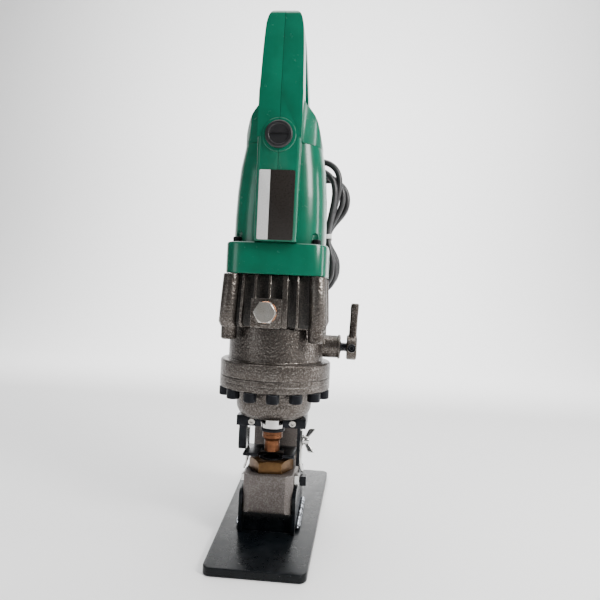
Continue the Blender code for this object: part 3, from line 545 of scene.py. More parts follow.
def soft_plastic(name, colour, roughness, grain_height, coat=0.0):
    """Moulded plastic or rubber: a fine leathery grain and uneven gloss."""
    look = Look(name, colour, roughness, coat=coat)
    cloud = look.noise(90, Detail=6, Roughness=0.7)
    lighter = tuple(value * 1.8 + 0.004 for value in colour)
    look.drive("Base Color", cloud, [(0.4, colour), (0.8, lighter)])
    look.drive("Roughness", cloud, [(0.3, roughness - 0.08), (0.7, roughness + 0.12)])
    look.bump(look.cells(1900), grain_height, 0.4)
    return look.material


def label(name):
    """The blank plate: black, with a white strip along its left side."""
    look = Look(name, (0.012, 0.011, 0.011), 0.32, specular=0.25)
    place = look.node("SeparateXYZ")
    look.link(look.node("TexCoord").outputs["Object"], place.inputs["Vector"])
    strip = look.node("Math", operation="LESS_THAN")
    look.link(place.outputs["X"], strip.inputs[0])
    strip.inputs[1].default_value = (low("rating_plate").x + STRIP_WIDTH) * MM
    ink = look.noise(900, Detail=3)
    white = look.ramp(ink, [(0.3, (0.5, 0.5, 0.5)), (0.7, (0.66, 0.66, 0.65))])
    black = look.ramp(ink, [(0.3, (0.011, 0.009, 0.008)), (0.7, (0.024, 0.02, 0.018))])
    look.set("Base Color", look.mixed(strip.outputs[0], black, white))
    look.drive("Roughness", ink, [(0.3, 0.25), (0.7, 0.42)])
    return look.material


def weld_metal(name):
    """Painted weld: gloss black over ripples, with bright blue-white patches of painted highlight."""
    look = Look(name, (0.02, 0.022, 0.026), 0.14, 0.9, coat=0.5)
    cloud = look.noise(260, Detail=5, Roughness=0.7)
    # The bright blue-white end of this ramp is painted highlight on the black weld.
    look.drive("Base Color", cloud, [(0.42, (0.02, 0.022, 0.027)), (0.56, (0.55, 0.58, 0.64))])
    look.drive("Roughness", cloud, [(0.3, 0.08), (0.7, 0.3)])
    look.bump(look.noise(420, Detail=5), 0.35, 0.6)
    return look.material


STRIP_WIDTH = 10.5
# Each finish: the function that makes its material, and that function's values.
FINISH = {
    "green_plastic": (green_plastic,), "black_paint": (black_paint,), "label": (label,),
    "cast_steel": (cast_steel,), "cast_shadow": (cast_shadow,), "grey_steel": (grey_steel,),
    "weld_metal": (weld_metal,),
    "black_oxide": (oxide, (0.011, 0.012, 0.015), (0.2, 0.2, 0.21), 0.34),
    "copper_steel": (oxide, (0.16, 0.06, 0.024), (0.42, 0.2, 0.1), 0.3),
    "bronze": (oxide, (0.115, 0.06, 0.021), (0.34, 0.22, 0.1), 0.33),
    "copper": (oxide, (0.6, 0.27, 0.14), (0.85, 0.5, 0.33), 0.3),
    "chrome": (bright, (0.68, 0.68, 0.67), 0.09, (0.5, 0.49, 0.47), (2600, 2600, 90)),
    "zinc": (bright, (0.58, 0.57, 0.54), 0.24, (0.45, 0.42, 0.38), (1800, 120, 1800)),
    "black_plastic": (soft_plastic, (0.009, 0.009, 0.01), 0.36, 0.05),
    "rubber": (soft_plastic, (0.012, 0.012, 0.013), 0.4, 0.03, 0.15),
    "red_rubber": (soft_plastic, (0.25, 0.02, 0.015), 0.6, 0.05),
    "carbon": (soft_plastic, (0.02, 0.02, 0.021), 0.55, 0.06),
    "tie": (soft_plastic, (0.55, 0.55, 0.53), 0.42, 0.03),
}


@functools.cache
def material_of(finish):
    """A finish's material, made the first time it is asked for."""
    maker, *values = FINISH[finish]
    return maker(finish, *values)


for node, target in nodes.items():
    target.data.materials.clear()
    target.data.materials.append(material_of(NODE_SLOT[node]))


# ---- base and stand

WELD_RADIUS, WELD_FRONT, WELD_LENGTH = 2.35, -10, 88
WELD_DROPS, WELD_STEPS = 22, 176


def make_base():
    """The plate, and the welded channel that holds the jaw."""
    front, back = low("base_plate").y, high("base_plate").y
    thick = high("base_plate").z
    plate = rounded([(-46.5, front), (46.5, front), (57, back), (-57, back)], 8, 12)
    base = piece("base", prism(plate, 0, thick), "black_paint", ["base_plate"])
    bevel(base, 1.0, segments=4)

    inner, outer = 25.3, high("stand_channel").x
    cheek = rectangle((-22, 8.3), (88, 51), [0, 0, 12, 6], 12)
    web = [(-16, 8.3), (-12, 8.3), (-12, 22.7), (82, 22.7), (82, 28.7), (-16, 28.7)]
    web = rounded(web, [0, 0, 2, 0, 0, 3], 4)
    cheeks = together([prism(cheek, side * inner, side * 28.9, "X") for side in (-1, 1)])
    channel = piece("stand", cheeks, "black_paint", ["stand_channel"])
    add(channel, prism(web, -inner - 1, inner + 1, "X"))
    cut(channel, cylinder(11.5, 10, 35))
    bevel(channel, 0.7, segments=3)

    def beads(mesh):
        """Overlapping weld drops, each leaning on the one before."""
        for side in (-1, 1):
            rings = []
            for step in range(WELD_STEPS + 1):
                along = step / WELD_STEPS
                drop = (along * WELD_DROPS) % 1
                lump = 0.55 * math.sin(math.pi * drop)
                lump += 0.5 * noise.noise(Vector((side * 5, along * 9, 3)))
                radius = (WELD_RADIUS + lump) * min(1, 12 * along + 0.35, 12 * (1 - along) + 0.35)
                shift = 0.35 * noise.noise(Vector((along * 14, side * 3, 7)))
                middle = (side * (outer - 2.3) + shift - side * 0.35, 11.2 + 0.4 * lump)
                y = WELD_FRONT + WELD_LENGTH * along
                rings.append([(x, y, z) for x, z in polygon(16, radius, 0, middle)])
            skin(rings)(mesh)

    piece("weld_beads", beads, "weld_metal", smooth=60)


# ---- castings

FLANGE = 57
SCREW_RING, SCREW_COUNT, SCREW_TURN = 51, 14, 5
SPINE_HALF = 33
VALVE_AXIS, LEVER_SCREW = (0, 199), (78, 199)
OIL_PLUG = (-5, 233)
PUMP_SCREW = 42.5
PUMP_WAIST, PUMP_GROWTH = 222, 1.035
FINS = (-29.5, -17.5, -3.6, 11.5, 23.5)
WIDE_FIN = 11.5
HEAD_SIDES = 48
KNURL = 0.25


def screw_places():
    """The flange screws' places: fourteen round the ring, less those at the jaw's spine."""
    places = []
    for index in range(SCREW_COUNT):
        angle = math.radians(SCREW_TURN) + math.tau * index / SCREW_COUNT
        spot = (SCREW_RING * math.sin(angle), -SCREW_RING * math.cos(angle))
        if spot[1] < 0 or abs(spot[0]) > SPINE_HALF:
            places.append(spot)
    return places


def hexagon(angle):
    """How far a hexagonal socket's wall is from its axis, at an angle."""
    half = math.radians(30)
    return 1.1 * math.cos(half) / math.cos((angle + half) % (2 * half) - half)


@shape
def socket_head(mesh, spot, seat, height, radius, side):
    """A socket screw's knurled head; side is -1 if it hangs below its seat."""
    tip = seat + side * height
    outside = ((seat, 0.985, 0), (seat + side * 0.4, 1, 1), (tip - side * 1.3, 1, 1),
               (tip - side * 0.9, 0.985, 0), (tip - side * 0.2, 0.93, 0), (tip, 0.86, 0))
    socket = ((tip, 0.57), (tip - side * 0.4, 0.5), (tip - side * height * 0.55, 0.5))
    angles = [math.tau * step / HEAD_SIDES for step in range(HEAD_SIDES)]
    levels = []
    for z, share, knurled in outside:
        levels.append((z, [radius * share - KNURL * knurled * (step % 2) for step in range(HEAD_SIDES)]))
    for z, share in socket:
        levels.append((z, [radius * share * hexagon(angle) for angle in angles]))
    skin([[(spot[0] + reach * math.cos(angle), spot[1] + reach * math.sin(angle), z)
           for angle, reach in zip(angles, reaches)] for z, reaches in levels])(mesh)


def make_jaw():
    """The C-shaped jaw, the domed head of its cylinder, and the screws under the head's flange."""
    side = [(-26, 29), (95, 29), (95, 116), (50, 161), (-5, 161), (-5, 125.5), (40, 125.5), (40, 68),
            (-26, 68)]
    side = rounded(side, [4, 9, 10, 0, 0, 0, 12, 7, 1.5], 10)
    plan = [(-18, -26), (18, -26), (25, -20), (25, 90), (20, 95), (-20, 95), (-25, 90), (-25, -20)]
    jaw = piece("jaw", prism(side, -25, 25, "X"), "grey_steel", ["c_frame"])
    keep(jaw, prism(plan, 10, 180))
    bevel(jaw, 0.8, 28, 3)
    cut(jaw, cylinder(38, 124, 200), cylinder(10.5, 20, 63), cylinder(16.4, 61.7, 72))

    dome = [(12.4, 124.5), (30, 124.5), (33.5, 125.8), (36.4, 129), (38.4, 133.5), (39, 138), (39, 152),
            (41, 155), (FLANGE - 1, 155), (FLANGE, 156), (FLANGE, 161.2), (FLANGE - 0.3, 161.5),
            (FLANGE, 161.8), (FLANGE, 167), (12.4, 167)]
    dome = rounded(dome, [0, 2, 4, 5, 5, 6, 2, 1.5, 0.8, 0.8, 0.2, 0.2, 0.2, 0.3, 0], 4)
    head = piece("cylinder_head", turned(dome, sides=128), "cast_steel")
    cut(head, cylinder(16.3, 120, 131.3), cylinder(22, 136.5, 170))

    heads = together([socket_head(spot, 154.7, 9, 6.5, -1) for spot in screw_places()])
    piece("flange_screw_heads", heads, "black_oxide", ["flange_screws"], smooth=50)


def make_hydraulics():
    """The cylinder body with its valve boss, and the finned pump casing."""
    body = [(25.2, 167.3), (FLANGE, 167.3), (FLANGE, 181.6), (55.6, 183), (50.5, 183), (49, 184.5),
            (49, 217), (25.2, 217)]
    body = rounded(body, [0, 0.5, 0.8, 1.2, 1.0, 1.2, 0.5, 0], 4)
    barrel = piece("cylinder_barrel", turned(body, sides=128), "cast_steel", ["cylinder_body"])
    boss = [(0, 40), (11.5, 40), (11.5, 63.5), (12.4, 63.9), (12.4, 65.4), (11.4, 66.5), (0, 66.5)]
    add(barrel, turned(boss, VALVE_AXIS, "X", 64))
    cut(barrel, cylinder(6.2, 60, 72, VALVE_AXIS, "X"))
    bevel(barrel, 0.5, 45, 2)

    def outline(scale):
        points = []
        for quarter in range(4):
            turn = Matrix.Rotation(math.radians(90 * quarter), 2)
            run = [(-34.5, -43.5)]
            for fin in FINS:
                width = 2.6 if fin == WIDE_FIN else 1.3
                run += [(fin - width - 0.4, -43.5), (fin - width, -48.6), (fin - width + 0.45, -49),
                        (fin + width - 0.45, -49), (fin + width, -48.6), (fin + width + 0.4, -43.5)]
            run += [(34.5, -43.5)] + arc((PUMP_SCREW, -PUMP_SCREW), 8.3, -170, 80, 16)
            points += [tuple(turn @ Vector(point) * scale) for point in run]
        return points

    levels = ((217.3, 0.99), (218.2, 1.004), (PUMP_WAIST, PUMP_GROWTH), (245, 1.012), (267.9, 0.985),
              (268.7, 0.975))
    casing = skin([[(x, y, z) for x, y in outline(scale)] for z, scale in levels])
    pump = piece("pump_housing", casing, "cast_steel", ["pump_casing"], smooth=28)
    foot = [(0, 205), (6.4, 205), (7.6, 206.2), (7.6, 222), (0, 222)]
    add(pump, *[turned(foot, spot, sides=32) for spot in corners(PUMP_SCREW)])
    pad = rectangle((-19.5, 218), (9.5, 246), 1.5, 5)
    add(pump, prism(pad, -58, -40, "Y"))
    bevel(pump, 0.45, 50, 2)
    cut(pump, cylinder(38, 222, 290), cylinder(6.2, -70, -35, OIL_PLUG, "Y"))
    # The floors of the cooling channels take a second material, near black, as painted shade.
    pump.data.materials.append(material_of("cast_shadow"))
    for face in pump.data.polygons:
        x, y, z = face.center / MM
        near, far = sorted((abs(x), abs(y)))
        floor = 45.6 * (PUMP_GROWTH if z > PUMP_WAIST else 1.0)
        if far < floor and near < 35.5 and z > 218 and math.hypot(x, y) > 42:
            face.material_index = 1

    crown = [(0, -67.2), (8.9, -67.2), (11.5, -65.6), (11.5, -45), (0, -45)]
    plug = piece("plug_bolt", prism(polygon(6, 11, 0, OIL_PLUG), -67, -59.8, "Y"), "zinc", ["oil_plug"])
    add(plug, cylinder(5.8, -60.5, -46, OIL_PLUG, "Y"))
    keep(plug, turned(crown, OIL_PLUG, "Y", 96))
    washer = [(6.3, -59.5), (9.9, -59.5), (10.4, -59), (10.4, -58.5), (9.9, -58.2), (6.3, -58.2)]
    piece("plug_seal", turned(washer, OIL_PLUG, "Y", 64), "copper", ["plug_washer"])


def make_release():
    """The release valve's stem, and its cast lever with a clamp screw."""
    stem = [(0, 46), (3, 46), (4.6, 50), (4.6, 60), (6, 60.2), (6, 66.9), (4.6, 67.1)]
    for groove in range(4):
        start = 67.4 + groove * 1.2
        stem += [(4.7, start), (4.1, start + 0.4), (4.1, start + 0.7), (4.7, start + 1.1)]
    stem += [(4.6, 72.6), (4.6, 81), (0, 81)]
    stem = turned(stem, VALVE_AXIS, "X", 48)
    piece("valve_stem", stem, "black_oxide", ["release_valve_stem"], "release")

    hub = [(0, 72.8), (11.6, 72.8), (12.8, 74), (12.8, 82), (11.6, 83.2), (0, 83.2)]
    lever = piece("lever", turned(hub, VALVE_AXIS, "X", 64), "cast_steel", ["release_lever"], "release")

    levels = ((200, 9.6, 74.0, 82.4), (206, 8.4, 74.2, 82.4), (213, 6.6, 74.7, 82.6), (222, 5.7, 75, 82.9),
              (233, 5.4, 75.4, 83.2), (239, 6.0, 75.2, 83.6), (243, 6.0, 75.6, 83.8), (244.5, 5, 76.6, 83.0))
    add(lever, skin([[(x, y, z) for x, y in rectangle((low_x, -half_y), (high_x, half_y), 2.4, 5)]
                     for z, half_y, low_x, high_x in levels]))
    bevel(lever, 0.5, 38, 3)
    cut(lever, cylinder(4.4, -20, 0, LEVER_SCREW, "Y"))
    screw = [(0, -9.5), (1.9, -9.5), (2.1, -12.2), (3.6, -12.4), (4, -12.1), (4, -5), (0, -5)]
    piece("clamp_screw", turned(screw, LEVER_SCREW, "Y", 48), "black_oxide", ["lever_screw"], "release")


# ---- punch, die and stripper

def make_tooling():
    """The die and its nut, and the ram with the punch and its ring."""
    die = [(8.5, 62), (16.1, 62), (16.1, 67.7), (13, 67.7), (13, 80), (12, 81), (9, 81), (8.5, 80.5)]
    piece("die_ring", turned(die), "black_oxide", ["die"])

    crown = rounded([(0, 60), (23.4, 60), (23.4, 77.6), (20.2, 80.2), (0, 80.2)], [0, 0, 1, 1, 0], 3)
    nut = piece("clamp_nut", prism(polygon(6, 23.1, 64), 68.3, 80), "bronze", ["die_nut"])
    keep(nut, turned(crown))
    cut(nut, cylinder(13.4, 60, 90, sides=96))
    bevel(nut, 0.5, 22, 3)

    punch = [(0, 87), (7.7, 87), (8, 87.3), (8, 97.5), (8.3, 99), (10.5, 101.5), (10.5, 104.6), (10.1, 105),
             (10.1, 105.4), (10.5, 105.8), (10.5, 107.7), (6, 107.7), (6, 118), (0, 118)]
    piece("punch_tool", turned(punch), "copper_steel", ["punch"], "ram")
    ring = rectangle((6.4, 108), (12.4, 111), 0.4, 3)
    piece("punch_ring", turned(ring), "black_oxide", ["punch_nut"], "ram")
    ram = [(0, 118.4), (6.3, 118.4), (6.3, 111.3), (11.5, 111.3), (12, 111.9), (12, 188), (24.2, 188),
           (24.8, 188.6), (24.8, 192.5), (22, 192.5), (22, 198.5), (24.8, 198.5), (24.8, 202.4), (24.2, 203),
           (0, 203)]
    piece("ram_rod", turned(ram), "chrome", ["ram"], "ram")


WING_AXIS, WING_LEAN = (10, 97), -20
YOKE_SCREW_HEIGHT = 119


def make_stripper():
    """The black yoke and its screws, the plated strips and the fork that strip the work, and its wing screw;
    the fork is dark as painted shade.
    """
    bar = block((-36.5, -12, 114), (35, 22, 124.2))
    yoke = piece("yoke", bar, "black_oxide", ["stripper_yoke"])
    cut(yoke, cylinder(16.6, 110, 130, sides=64))
    left_arm = rectangle((4, 84), (16, 116), [5.5, 5.5, 0, 0], 10)
    right_arm = rectangle((4, 70), (16, 116), [2, 2, 0, 0], 5)
    add(yoke, prism(left_arm, -36.5, -28.9, "X"), prism(right_arm, 25.6, 28.8, "X"))
    bevel(yoke, 0.7, 40, 3)

    head = [(0, -14.8), (1.5, -14.8), (1.7, -15.6), (2.9, -15.6), (3.4, -15.1), (3.4, -12.3), (1.9, -12.3),
            (1.9, -4), (0, -4)]
    for side, x in (("left", -20.5), ("right", 21.5)):
        spot = (x, YOKE_SCREW_HEIGHT)
        name = f"yoke_screw_{side}"
        screw = piece(name + "_head", turned(head, spot, "Y", 40), "zinc", [name])
        cut(screw, prism(polygon(6, 1.7, 12, spot), -16, -13.6, "Y"))

    thick, left, right = 1.8, -28.0, 29.1
    strip_low, strip_high = low("stripper_frame").z, high("stripper_frame").z

    levels = ((strip_low, 2.4), (66.5, 2.15), (68.5, 1.6), (70.5, 0.7), (72, 0.15), (74, 0), (strip_high, 0))
    strips = []
    for x, side in ((left, -1), (right, 1)):
        rings = []
        for z, flare in levels:
            section = rectangle((x + side * flare, 4.5), (x + side * flare + thick, 15.5))
            rings.append([(a, b, z) for a, b in section])
        strips.append(skin(rings))

    fork = [(-28.5, -13), (-12.9, -13), (-12.9, 2)] + arc((0, 4), 12.9, 180, 0, 32)
    fork += [(12.9, -13), (24.7, -13), (24.7, 3), (24.7, 17.2), (29.7, 17.2), (29.7, 21), (19, 24),
             (-28.5, 24)]
    stripper = piece("stripper_strips", together(strips), "chrome", ["stripper_frame"], "stripper")
    widening = rectangle((14.5, 74), (20, strip_high - 3))
    add(stripper, prism(widening, right + 0.01, right + thick - 0.01, "X"))
    slot = arc((WING_AXIS[0], 89.5), 3.0, 180, 360, 12) + arc(WING_AXIS, 3.0, 0, 180, 12)
    cut(stripper, prism(slot, 27, 34, "X"))
    bevel(stripper, 0.35, 40, 2)
    # Painted shade: the fork plate of the plated stripper takes the dark oxide finish for the shade it lies
    # in.
    plate = piece("stripper_fork", prism(fork, 83, 86), "black_oxide", body="stripper")
    bevel(plate, 0.4, 40, 2)

    start = right + thick + 0.3
    profile = [(0, 25.0), (2.4, 25.0), (2.4, start), (5.4, start), (6, start + 0.4), (6, start + 0.9),
               (5.4, start + 1.3), (4.3, start + 2), (4.2, start + 5.8), (3.6, start + 6.9),
               (2.2, start + 7.2), (0, start + 7.2)]
    wing = piece("wing_bolt", turned(profile, WING_AXIS, "X", 48), "chrome", ["wing_screw"], "wing_screw")

    lean = rotation(WING_LEAN, "X", 3)
    levels = ((2.2, 2.2, 5.8, 2.1), (4.5, 2.6, 7.6, 1.7), (8, 4.3, 10.4, 1.35), (10.8, 5.6, 12.4, 1.2),
              (11.8, 6.5, 12.8, 1.1), (12.2, 7.4, 12.2, 0.8))
    wings = []
    for side in (-1, 1):
        rings = []
        for reach, near, far, half in levels:
            section = rectangle((start + near, -half), (start + far, half), min(half, 1.2) * 0.9, 4)
            rings.append([lean @ Vector((x, y, side * reach)) + Vector((0, *WING_AXIS)) for x, y in section])
        wings.append(skin(rings))
    add(wing, together(wings))
    bevel(wing, 0.3, 40, 2)


# ---- motor case and handle

CASE_SCREW = 38.8
BRUSH_AXIS = (0, 400)
LOCK_AXIS = (-42, 455)
CASE_TOP_HALF = 39.5
HALF_SEAM = 0.15


def case_rings(grow=0.0, above=0.0):
    """Rings of the case's outside: a square collar, then a barrel that narrows upward."""
    bottom, top = low("motor_case").z, high("motor_case").z
    half = high("motor_case").x
    levels = [(bottom, half - 0.5, 6.0), (bottom + 0.5, half, 6.0), (297.6, half, 6.0),
              (299.0, half - 0.4, 6.0), (299.8, half - 1.2, 6.0), (300, half - 2.2, 6.0)]
    barrel = ((300.1, 46.4, 3.2), (325.0, 46.2, 3.2), (350.0, 45.4, 3.1), (375.0, 43.4, 3.0),
              (top, CASE_TOP_HALF, 3.0))
    for lower, upper in zip(barrel, barrel[1:]):
        for step in range(4):
            levels.append(tuple(a + (b - a) * (step / 4) for a, b in zip(lower, upper)))
    levels.append(barrel[-1])
    return [[(x, y, z) for x, y in squircle(size + grow, power)] for z, size, power in levels if z > above]


def make_case():
    """The hollow motor case, with a screw sunk in each corner of its collar."""
    case = piece("case", skin(case_rings()), "green_plastic", ["motor_case"], smooth=30)
    cavity = [(0, 299), (36, 299), (38.5, 304), (38.5, 345), (37.2, 372), (31, 399), (0, 399)]
    cut(case, cylinder(40, 260, 284, sides=96), turned(cavity))
    seat = [(0, 299.2), (5.4, 299.2), (5.4, 307), (4.6, 309.5), (2.8, 311.5), (0, 312.2)]
    cut(case, together([turned(seat, spot, sides=48) for spot in corners(CASE_SCREW)]))
    heads = together([socket_head(spot, 299.4, 5.4, 4.3, 1) for spot in corners(CASE_SCREW)])
    piece("case_screw_heads", heads, "black_oxide", ["case_screws"], smooth=50)


def make_handle():
    """Two shells with a fine seam between them: spine, shoulders and the D-shaped grip."""
    seam, top = high("motor_case").z + 0.3, high("handle_left").z
    side = [(-58, seam - 6), (39, seam - 6), (38.5, 416), (56, 430), (56, 452), (-22, top), (-51, top),
            (-57.5, 440)]
    side = rounded(side, [0, 3, 4, 6, 16, 14, 7, 30], 10)
    opening = rounded([(-26, 431), (28, 431), (34, 441), (-20, 503), (-26, 503)], [8, 6, 6, 5, 3], 8)
    # Half the width at each height, then half the plan.
    front = [(41.5, seam - 1), (38.6, 405), (36.8, 413), (33.5, 424), (27, 432.5), (22.3, 437.5),
             (20.6, 445), (19.4, 480), (18.2, 502), (17.2, 510), (15, 516.5), (12, 520), (8, 521.7)]
    front = smooth_curve(front, 3)
    plan = [(20.9, -70), (20.9, -38.5), (31.3, -31.3), (37.5, -21), (39.3, -8), (39.3, 8), (37.5, 21),
            (31.3, 31.3), (23, 37.5), (23, 70)]
    plan += [(-x, y) for x, y in reversed(plan)]
    for sign, name in ((-1, "left"), (1, "right")):
        past = -6 * sign
        other_side = sorted((sign * HALF_SEAM, -30 * sign))
        face = [(past, seam - 8), (sign * 42, seam - 8)]
        face += [(sign * x, z) for x, z in front] + [(past, top + 1)]
        tongue = rectangle((past, -58), (sign * 20.5, -30), [0, 4, 0, 0], 8)

        blank = prism(side, past, sign * 40, "X")
        shell = piece(f"shell_{name}", blank, "green_plastic", [f"handle_{name}"])
        cut(shell, prism(opening, -50, 50, "X"))
        keep(shell, prism(face, -80, 80, "Y"))
        keep(shell, prism(plan, 380, 540))
        bevel(shell, 3.0, 40, 5)
        cut(shell, block((-60, -80, 380), (60, 80, seam)))
        add(shell, prism(tongue, 300.3, 404))
        rim = [(x, y, seam + 0.1) for x, y in squircle(CASE_TOP_HALF + 0.3, 3.0)]
        cut(shell, skin(case_rings(0.3, 300) + [rim]))
        ring = [(0, -50), (16.2, -50), (16.2, -58.6), (15.6, -59.4), (12.6, -59.5), (11.6, -58.6),
                (0, -58.6)]
        add(shell, turned(ring, BRUSH_AXIS, "Y", 72))
        cut(shell, block((other_side[0], -80, 280), (other_side[1], 80, 540)),
            cylinder(10.4, -70, -40, BRUSH_AXIS, "Y", 72),
            block((-6.4, -50, 464.1), (6.4, -20, 495.9)),
            cylinder(4.5, -40, -5, LOCK_AXIS, "X"))
        bevel(shell, 0.35, 50, 2)


def make_fittings():
    """The brush cap, blank plate, trigger and lock button."""
    cap = [(0, -61.4), (9.2, -61.4), (9.8, -62.5), (12, -62.5), (13, -61.5), (13, -59.8), (10, -59.8),
           (10, -48), (0, -48)]
    cap = turned(rounded(cap, [0, 0.3, 0.4, 0.6, 0.6, 0, 0, 0, 0], 4), BRUSH_AXIS, "Y")
    brush_cap = piece("brush_cap", cap, "black_plastic", ["brush_cap_front"])
    cut(brush_cap, block((-9, -64, 399), (9, -60.4, 401)))

    plate = rectangle((-17, 301.5), (17, 367), 1.5, 6)
    front, back = low("rating_plate").y, high("rating_plate").y
    plate = prism(plate, front, back, "Y")
    shown = piece("blank_plate", plate, "label", ["rating_plate"])
    bevel(shown, 0.15, 50, 2)

    outline = rounded([(-31.5, 464.5), (-14, 464.5), (-12, 495.5), (-31.5, 495.5)], [0, 6, 5, 0], 8)
    blade = prism(outline, -6, 6, "X")
    lever = piece("trigger_lever", blade, "black_plastic", ["trigger"], "trigger")
    cut(lever, cylinder(40, -20, 20, (24, 480), "X", 96))
    bevel(lever, 1.2, 40, 4)

    button = [(0, -22), (3.2, -22), (4.2, -21), (4.2, -10.5), (0, -10.5)]
    button = rounded(button, [0, 0.5, 0.5, 0.5, 0], 4)
    button = turned(button, LOCK_AXIS, "X", 48)
    piece("lock_pin", button, "black_plastic", ["lock_button"], "lock_button")


# ---- cord

CORD_DIAMETER = 7.0
CORD_ROUTE = ((0, 69.1, 390), (0.6, 73.6, 381.5), (3, 77, 370), (7.5, 77.8, 359), (13.3, 76.2, 349.8),
              (17.2, 74.5, 344.6))
BOOT_PLACE, BOOT_WAY, BOOT_RIBS = (0, 46, 423), (0, 0.573, -0.819), 7
TIE_LOW, TIE_HIGH = 316.6, 321.4
FIRST_TURN_Y = 61.6
BEND, PINCH_ROUNDS = 24.0, 30
WAIST_LEFT, WAIST_RIGHT = (35.2, 319), (45.2, 319)
PLUG_AXIS = (28, 91)
TAIL = ((29, 91, 296), (*PLUG_AXIS, 252.6))
# Each turn of the hank: its left, right and top above the waist, then left, right and bottom below it.
TURNS = ((8, 52, 396, 8.5, 52.5, 257), (12.8, 56.8, 407.5, 12, 56, 254.5), (16.5, 61.5, 392, 14.5, 58.5, 259),
         (21, 67, 389, 13, 57, 261))


def pinched(before, after, waist):
    """The corner whose rounding just passes through a place at the waist."""
    corner, before, after = Vector(waist), Vector(before), Vector(after)
    for _ in range(PINCH_ROUNDS):
        back, ahead = (before - corner).normalized(), (after - corner).normalized()
        half = back.angle(ahead) / 2
        corner = Vector(waist) - (back + ahead).normalized() * BEND * (1 / math.sin(half) - 1)
    return tuple(corner)


def turn_corners(left, right, top, low_left, low_right, bottom):
    """One turn of the hank from the waist's left side, in (x, z), with each corner's radius."""
    crown, foot = (right - left) / 2 - 0.1, (low_right - low_left) / 2 - 0.1
    shoulder, ankle = top - crown - 12, bottom + foot + 13
    right_pinch = pinched((low_right, ankle), (right, shoulder), WAIST_RIGHT)
    left_pinch = pinched((left, shoulder), (low_left, ankle), WAIST_LEFT)
    return [((low_left, ankle), BEND), ((low_left, bottom), foot), ((low_right, bottom), foot),
            ((low_right, ankle), BEND), (right_pinch, BEND), ((right, shoulder), BEND), ((right, top), crown),
            ((left, top), crown), ((left, shoulder), BEND), (left_pinch, BEND)]


def cord_line():
    """The middle of the cord: its route, the hank's turns one diameter behind each other, and the tail."""
    bends = [(CORD_ROUTE[-1], 0), ((44, FIRST_TURN_Y, 317), 24)]
    for number, sizes in enumerate(TURNS):
        turn = turn_corners(*sizes)
        for place, ((x, z), radius) in enumerate(turn):
            back = number + (place + 1) / len(turn)
            bends.append(((x, FIRST_TURN_Y + CORD_DIAMETER * back, z), radius))
    bends[-1] = ((WAIST_LEFT[0], FIRST_TURN_Y + CORD_DIAMETER * len(TURNS), WAIST_LEFT[1]), 40)
    bends += [(TAIL[0], 60), (TAIL[1], 0)]
    wound = filleted(*zip(*bends))
    return smooth_curve(CORD_ROUTE, 2)[:-1] + evenly(wound, 8.5)


def make_cord():
    """The lead: out of the boot, down to the tied waist, round an hourglass hank, and to its plug."""
    line = cord_line()
    curve = bpy.data.curves.new("lead", "CURVE")
    curve.dimensions = "3D"
    curve.bevel_depth = CORD_DIAMETER / 2 * MM
    curve.bevel_resolution = curve.resolution_u = 4
    curve.use_fill_caps = True
    spline = curve.splines.new("NURBS")
    spline.points.add(len(line) - 1)
    for point, place in zip(spline.points, line):
        point.co = (*(Vector(place) * MM), 1)
    spline.order_u = 4
    spline.use_endpoint_u = True
    curve.materials.append(material_of("rubber"))
    lead = placed("lead", curve)
    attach(lead, "frame")
    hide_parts("cord_tube", "cord_hank")

    profile = [(-6, 7.4), (6.4, 7.4), (6.6, 9), (9.6, 9), (10.2, 8.2)]
    for rib in range(BOOT_RIBS):
        reach, size = 11 + 4 * rib, 6.8 - 0.32 * rib
        profile += [(reach, size), (reach + 2.2, size - 0.1), (reach + 2.5, size - 1.1),
                    (reach + 3.6, size - 1.2)]
    profile += [(39, 4.6), (40, 4.2)]
    across, along = Vector((1, 0, 0)), Vector(BOOT_WAY).normalized()
    up = along.cross(across)
    rings = []
    for reach, radius in profile:
        middle = Vector(BOOT_PLACE) + along * reach
        rings.append([middle + (across * a + up * b) for a, b in polygon(32, radius)])
    piece("boot", skin(rings), "rubber", ["strain_relief"])

    # The tie is a flat band pulled round the waist, a little wavy.
    inner = rectangle((31.2, 57.8), (49.4, 96.2), 6, 6)
    outer = rectangle((29.9, 56.5), (50.7, 97.5), 7, 6)
    loops = ((outer, TIE_LOW), (outer, TIE_HIGH), (inner, TIE_HIGH), (inner, TIE_LOW))
    rings = [[(x, y, z + 0.5 * math.sin(x * 0.4)) for x, y in loop] for loop, z in loops]
    wrapped = piece("tie_band", skin(rings, closed=True), "tie", ["hank_tie"])
    bevel(wrapped, 0.3, 50, 2)

    bottom, top = low("plug").z, high("plug").z
    body = [(0, top), (4.3, top), (4.6, 249), (5.0, 245), (5.8, 240)]
    for rib in range(3):
        body += [(6.9 + rib * 1.3, 239 - rib * 2), (6.4 + rib * 1.3, 238.4 - rib * 2)]
    body += [(11, 233.2), (12.2, 230.5), (12.5, 228), (12.5, 214), (12.1, 211.5), (11, 209.4), (9.5, 209),
             (0, 209)]
    plug = piece("mains_plug", turned(body, PLUG_AXIS, sides=64), "black_plastic", ["plug"])
    keep(plug, prism(rectangle((15.6, 79.8), (40.4, 102.2), 8, 8), 200, 260))
    pin = [(0, bottom), (1.5, bottom), (2.3, bottom + 1.2), (2.3, 212), (0, 212)]
    spots = [(PLUG_AXIS[0] + side * 7.5, PLUG_AXIS[1]) for side in (-1, 1)]
    pegs = piece("plug_pins", together([turned(pin, spot, sides=32) for spot in spots]), "zinc")


make_base()
make_jaw()
make_hydraulics()
make_release()
make_tooling()
make_stripper()
make_case()
make_handle()
make_fittings()
make_cord()

for node in ("jaw_side_block_left", "jaw_side_block_right", "jaw_side_bolt"):
    soften(node, 0.5)

spring = nodes["return_spring"]
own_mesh(spring)


# ---- floor, lights and camera

FLOOR_DROP = 0.3
CAMERA_LENS = 33.15
CAMERA_PLACE = (0.066, -0.574, 0.252)
CAMERA_YAW, CAMERA_PITCH, CAMERA_ROLL = 4.35, -0.65, 2.65


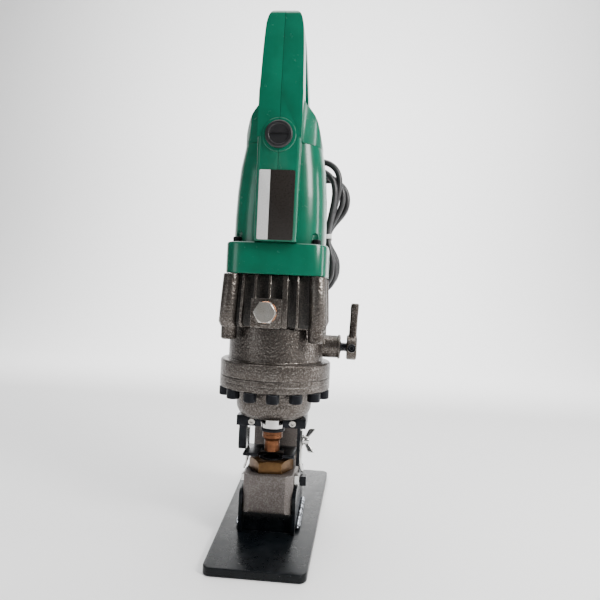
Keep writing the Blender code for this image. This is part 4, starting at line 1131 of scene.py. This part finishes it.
def make_stage():
    """A pale floor that curves up into a backdrop."""
    outline = [(-3000, 0), (1300, 0)] + arc((1300, 900), 900, -90, 0, 16)[1:] + [(2200, 3500)]

    def sheet(mesh):
        rows = [[mesh.verts.new((x, y, z - FLOOR_DROP)) for y, z in outline] for x in (-4000, 4000)]
        for index in range(len(outline) - 1):
            mesh.faces.new((rows[0][index], rows[0][index + 1], rows[1][index + 1], rows[1][index]))

    data = mesh_data("floor", sheet)
    data.shade_smooth()
    data.materials.append(Look("floor", (0.86, 0.86, 0.86), 0.6).material)
    floor = placed("floor", data)


def area_light(name, place, aim, size, power, colour=(1, 1, 1)):
    """A soft square lamp; places in metres, power in watts."""
    data = bpy.data.lights.new(name, "AREA")
    data.shape = "RECTANGLE"
    data.size, data.size_y = size
    data.energy = power
    data.color = colour
    lamp = placed(name, data)
    lamp.location = place
    lamp.rotation_euler = (Vector(aim) - Vector(place)).to_track_quat("-Z", "Y").to_euler()


def make_lights():
    """Lamps for the tool and for the backdrop, and a dim sky."""
    area_light("key", (0.8, -0.55, 0.85), (0, 0, 0.27), (0.3, 0.5), 16, (1.0, 0.985, 0.96))
    area_light("fill", (-1.2, -1.1, 0.6), (0, 0, 0.25), (0.5, 0.8), 3.5, (0.94, 0.97, 1.0))
    area_light("side", (1.2, 0.15, 0.35), (0, 0, 0.28), (0.16, 0.9), 7)
    area_light("top", (0.0, 0.6, 2.4), (0, 0.6, 0), (2.6, 2.6), 110)
    area_light("backdrop", (0.0, 1.0, 1.0), (0, 2.2, 0.6), (2.0, 1.0), 45)
    world = bpy.data.worlds.new("studio")
    world.use_nodes = True
    background = world.node_tree.nodes["Background"]
    background.inputs["Color"].default_value = (0.95, 0.97, 1, 1)
    background.inputs["Strength"].default_value = 0.14
    bpy.context.scene.world = world


def make_camera():
    """Close in front, level with the casing, turned a little left and rolled."""
    data = bpy.data.cameras.new("camera")
    data.lens = CAMERA_LENS
    data.clip_start = 0.01
    camera = placed("camera", data)
    camera.location = CAMERA_PLACE
    aim = rotation(CAMERA_YAW, "Z") @ rotation(90 + CAMERA_PITCH, "X") @ rotation(CAMERA_ROLL, "Z")
    camera.rotation_euler = aim.to_euler()
    bpy.context.scene.camera = camera


make_stage()
make_lights()
make_camera()
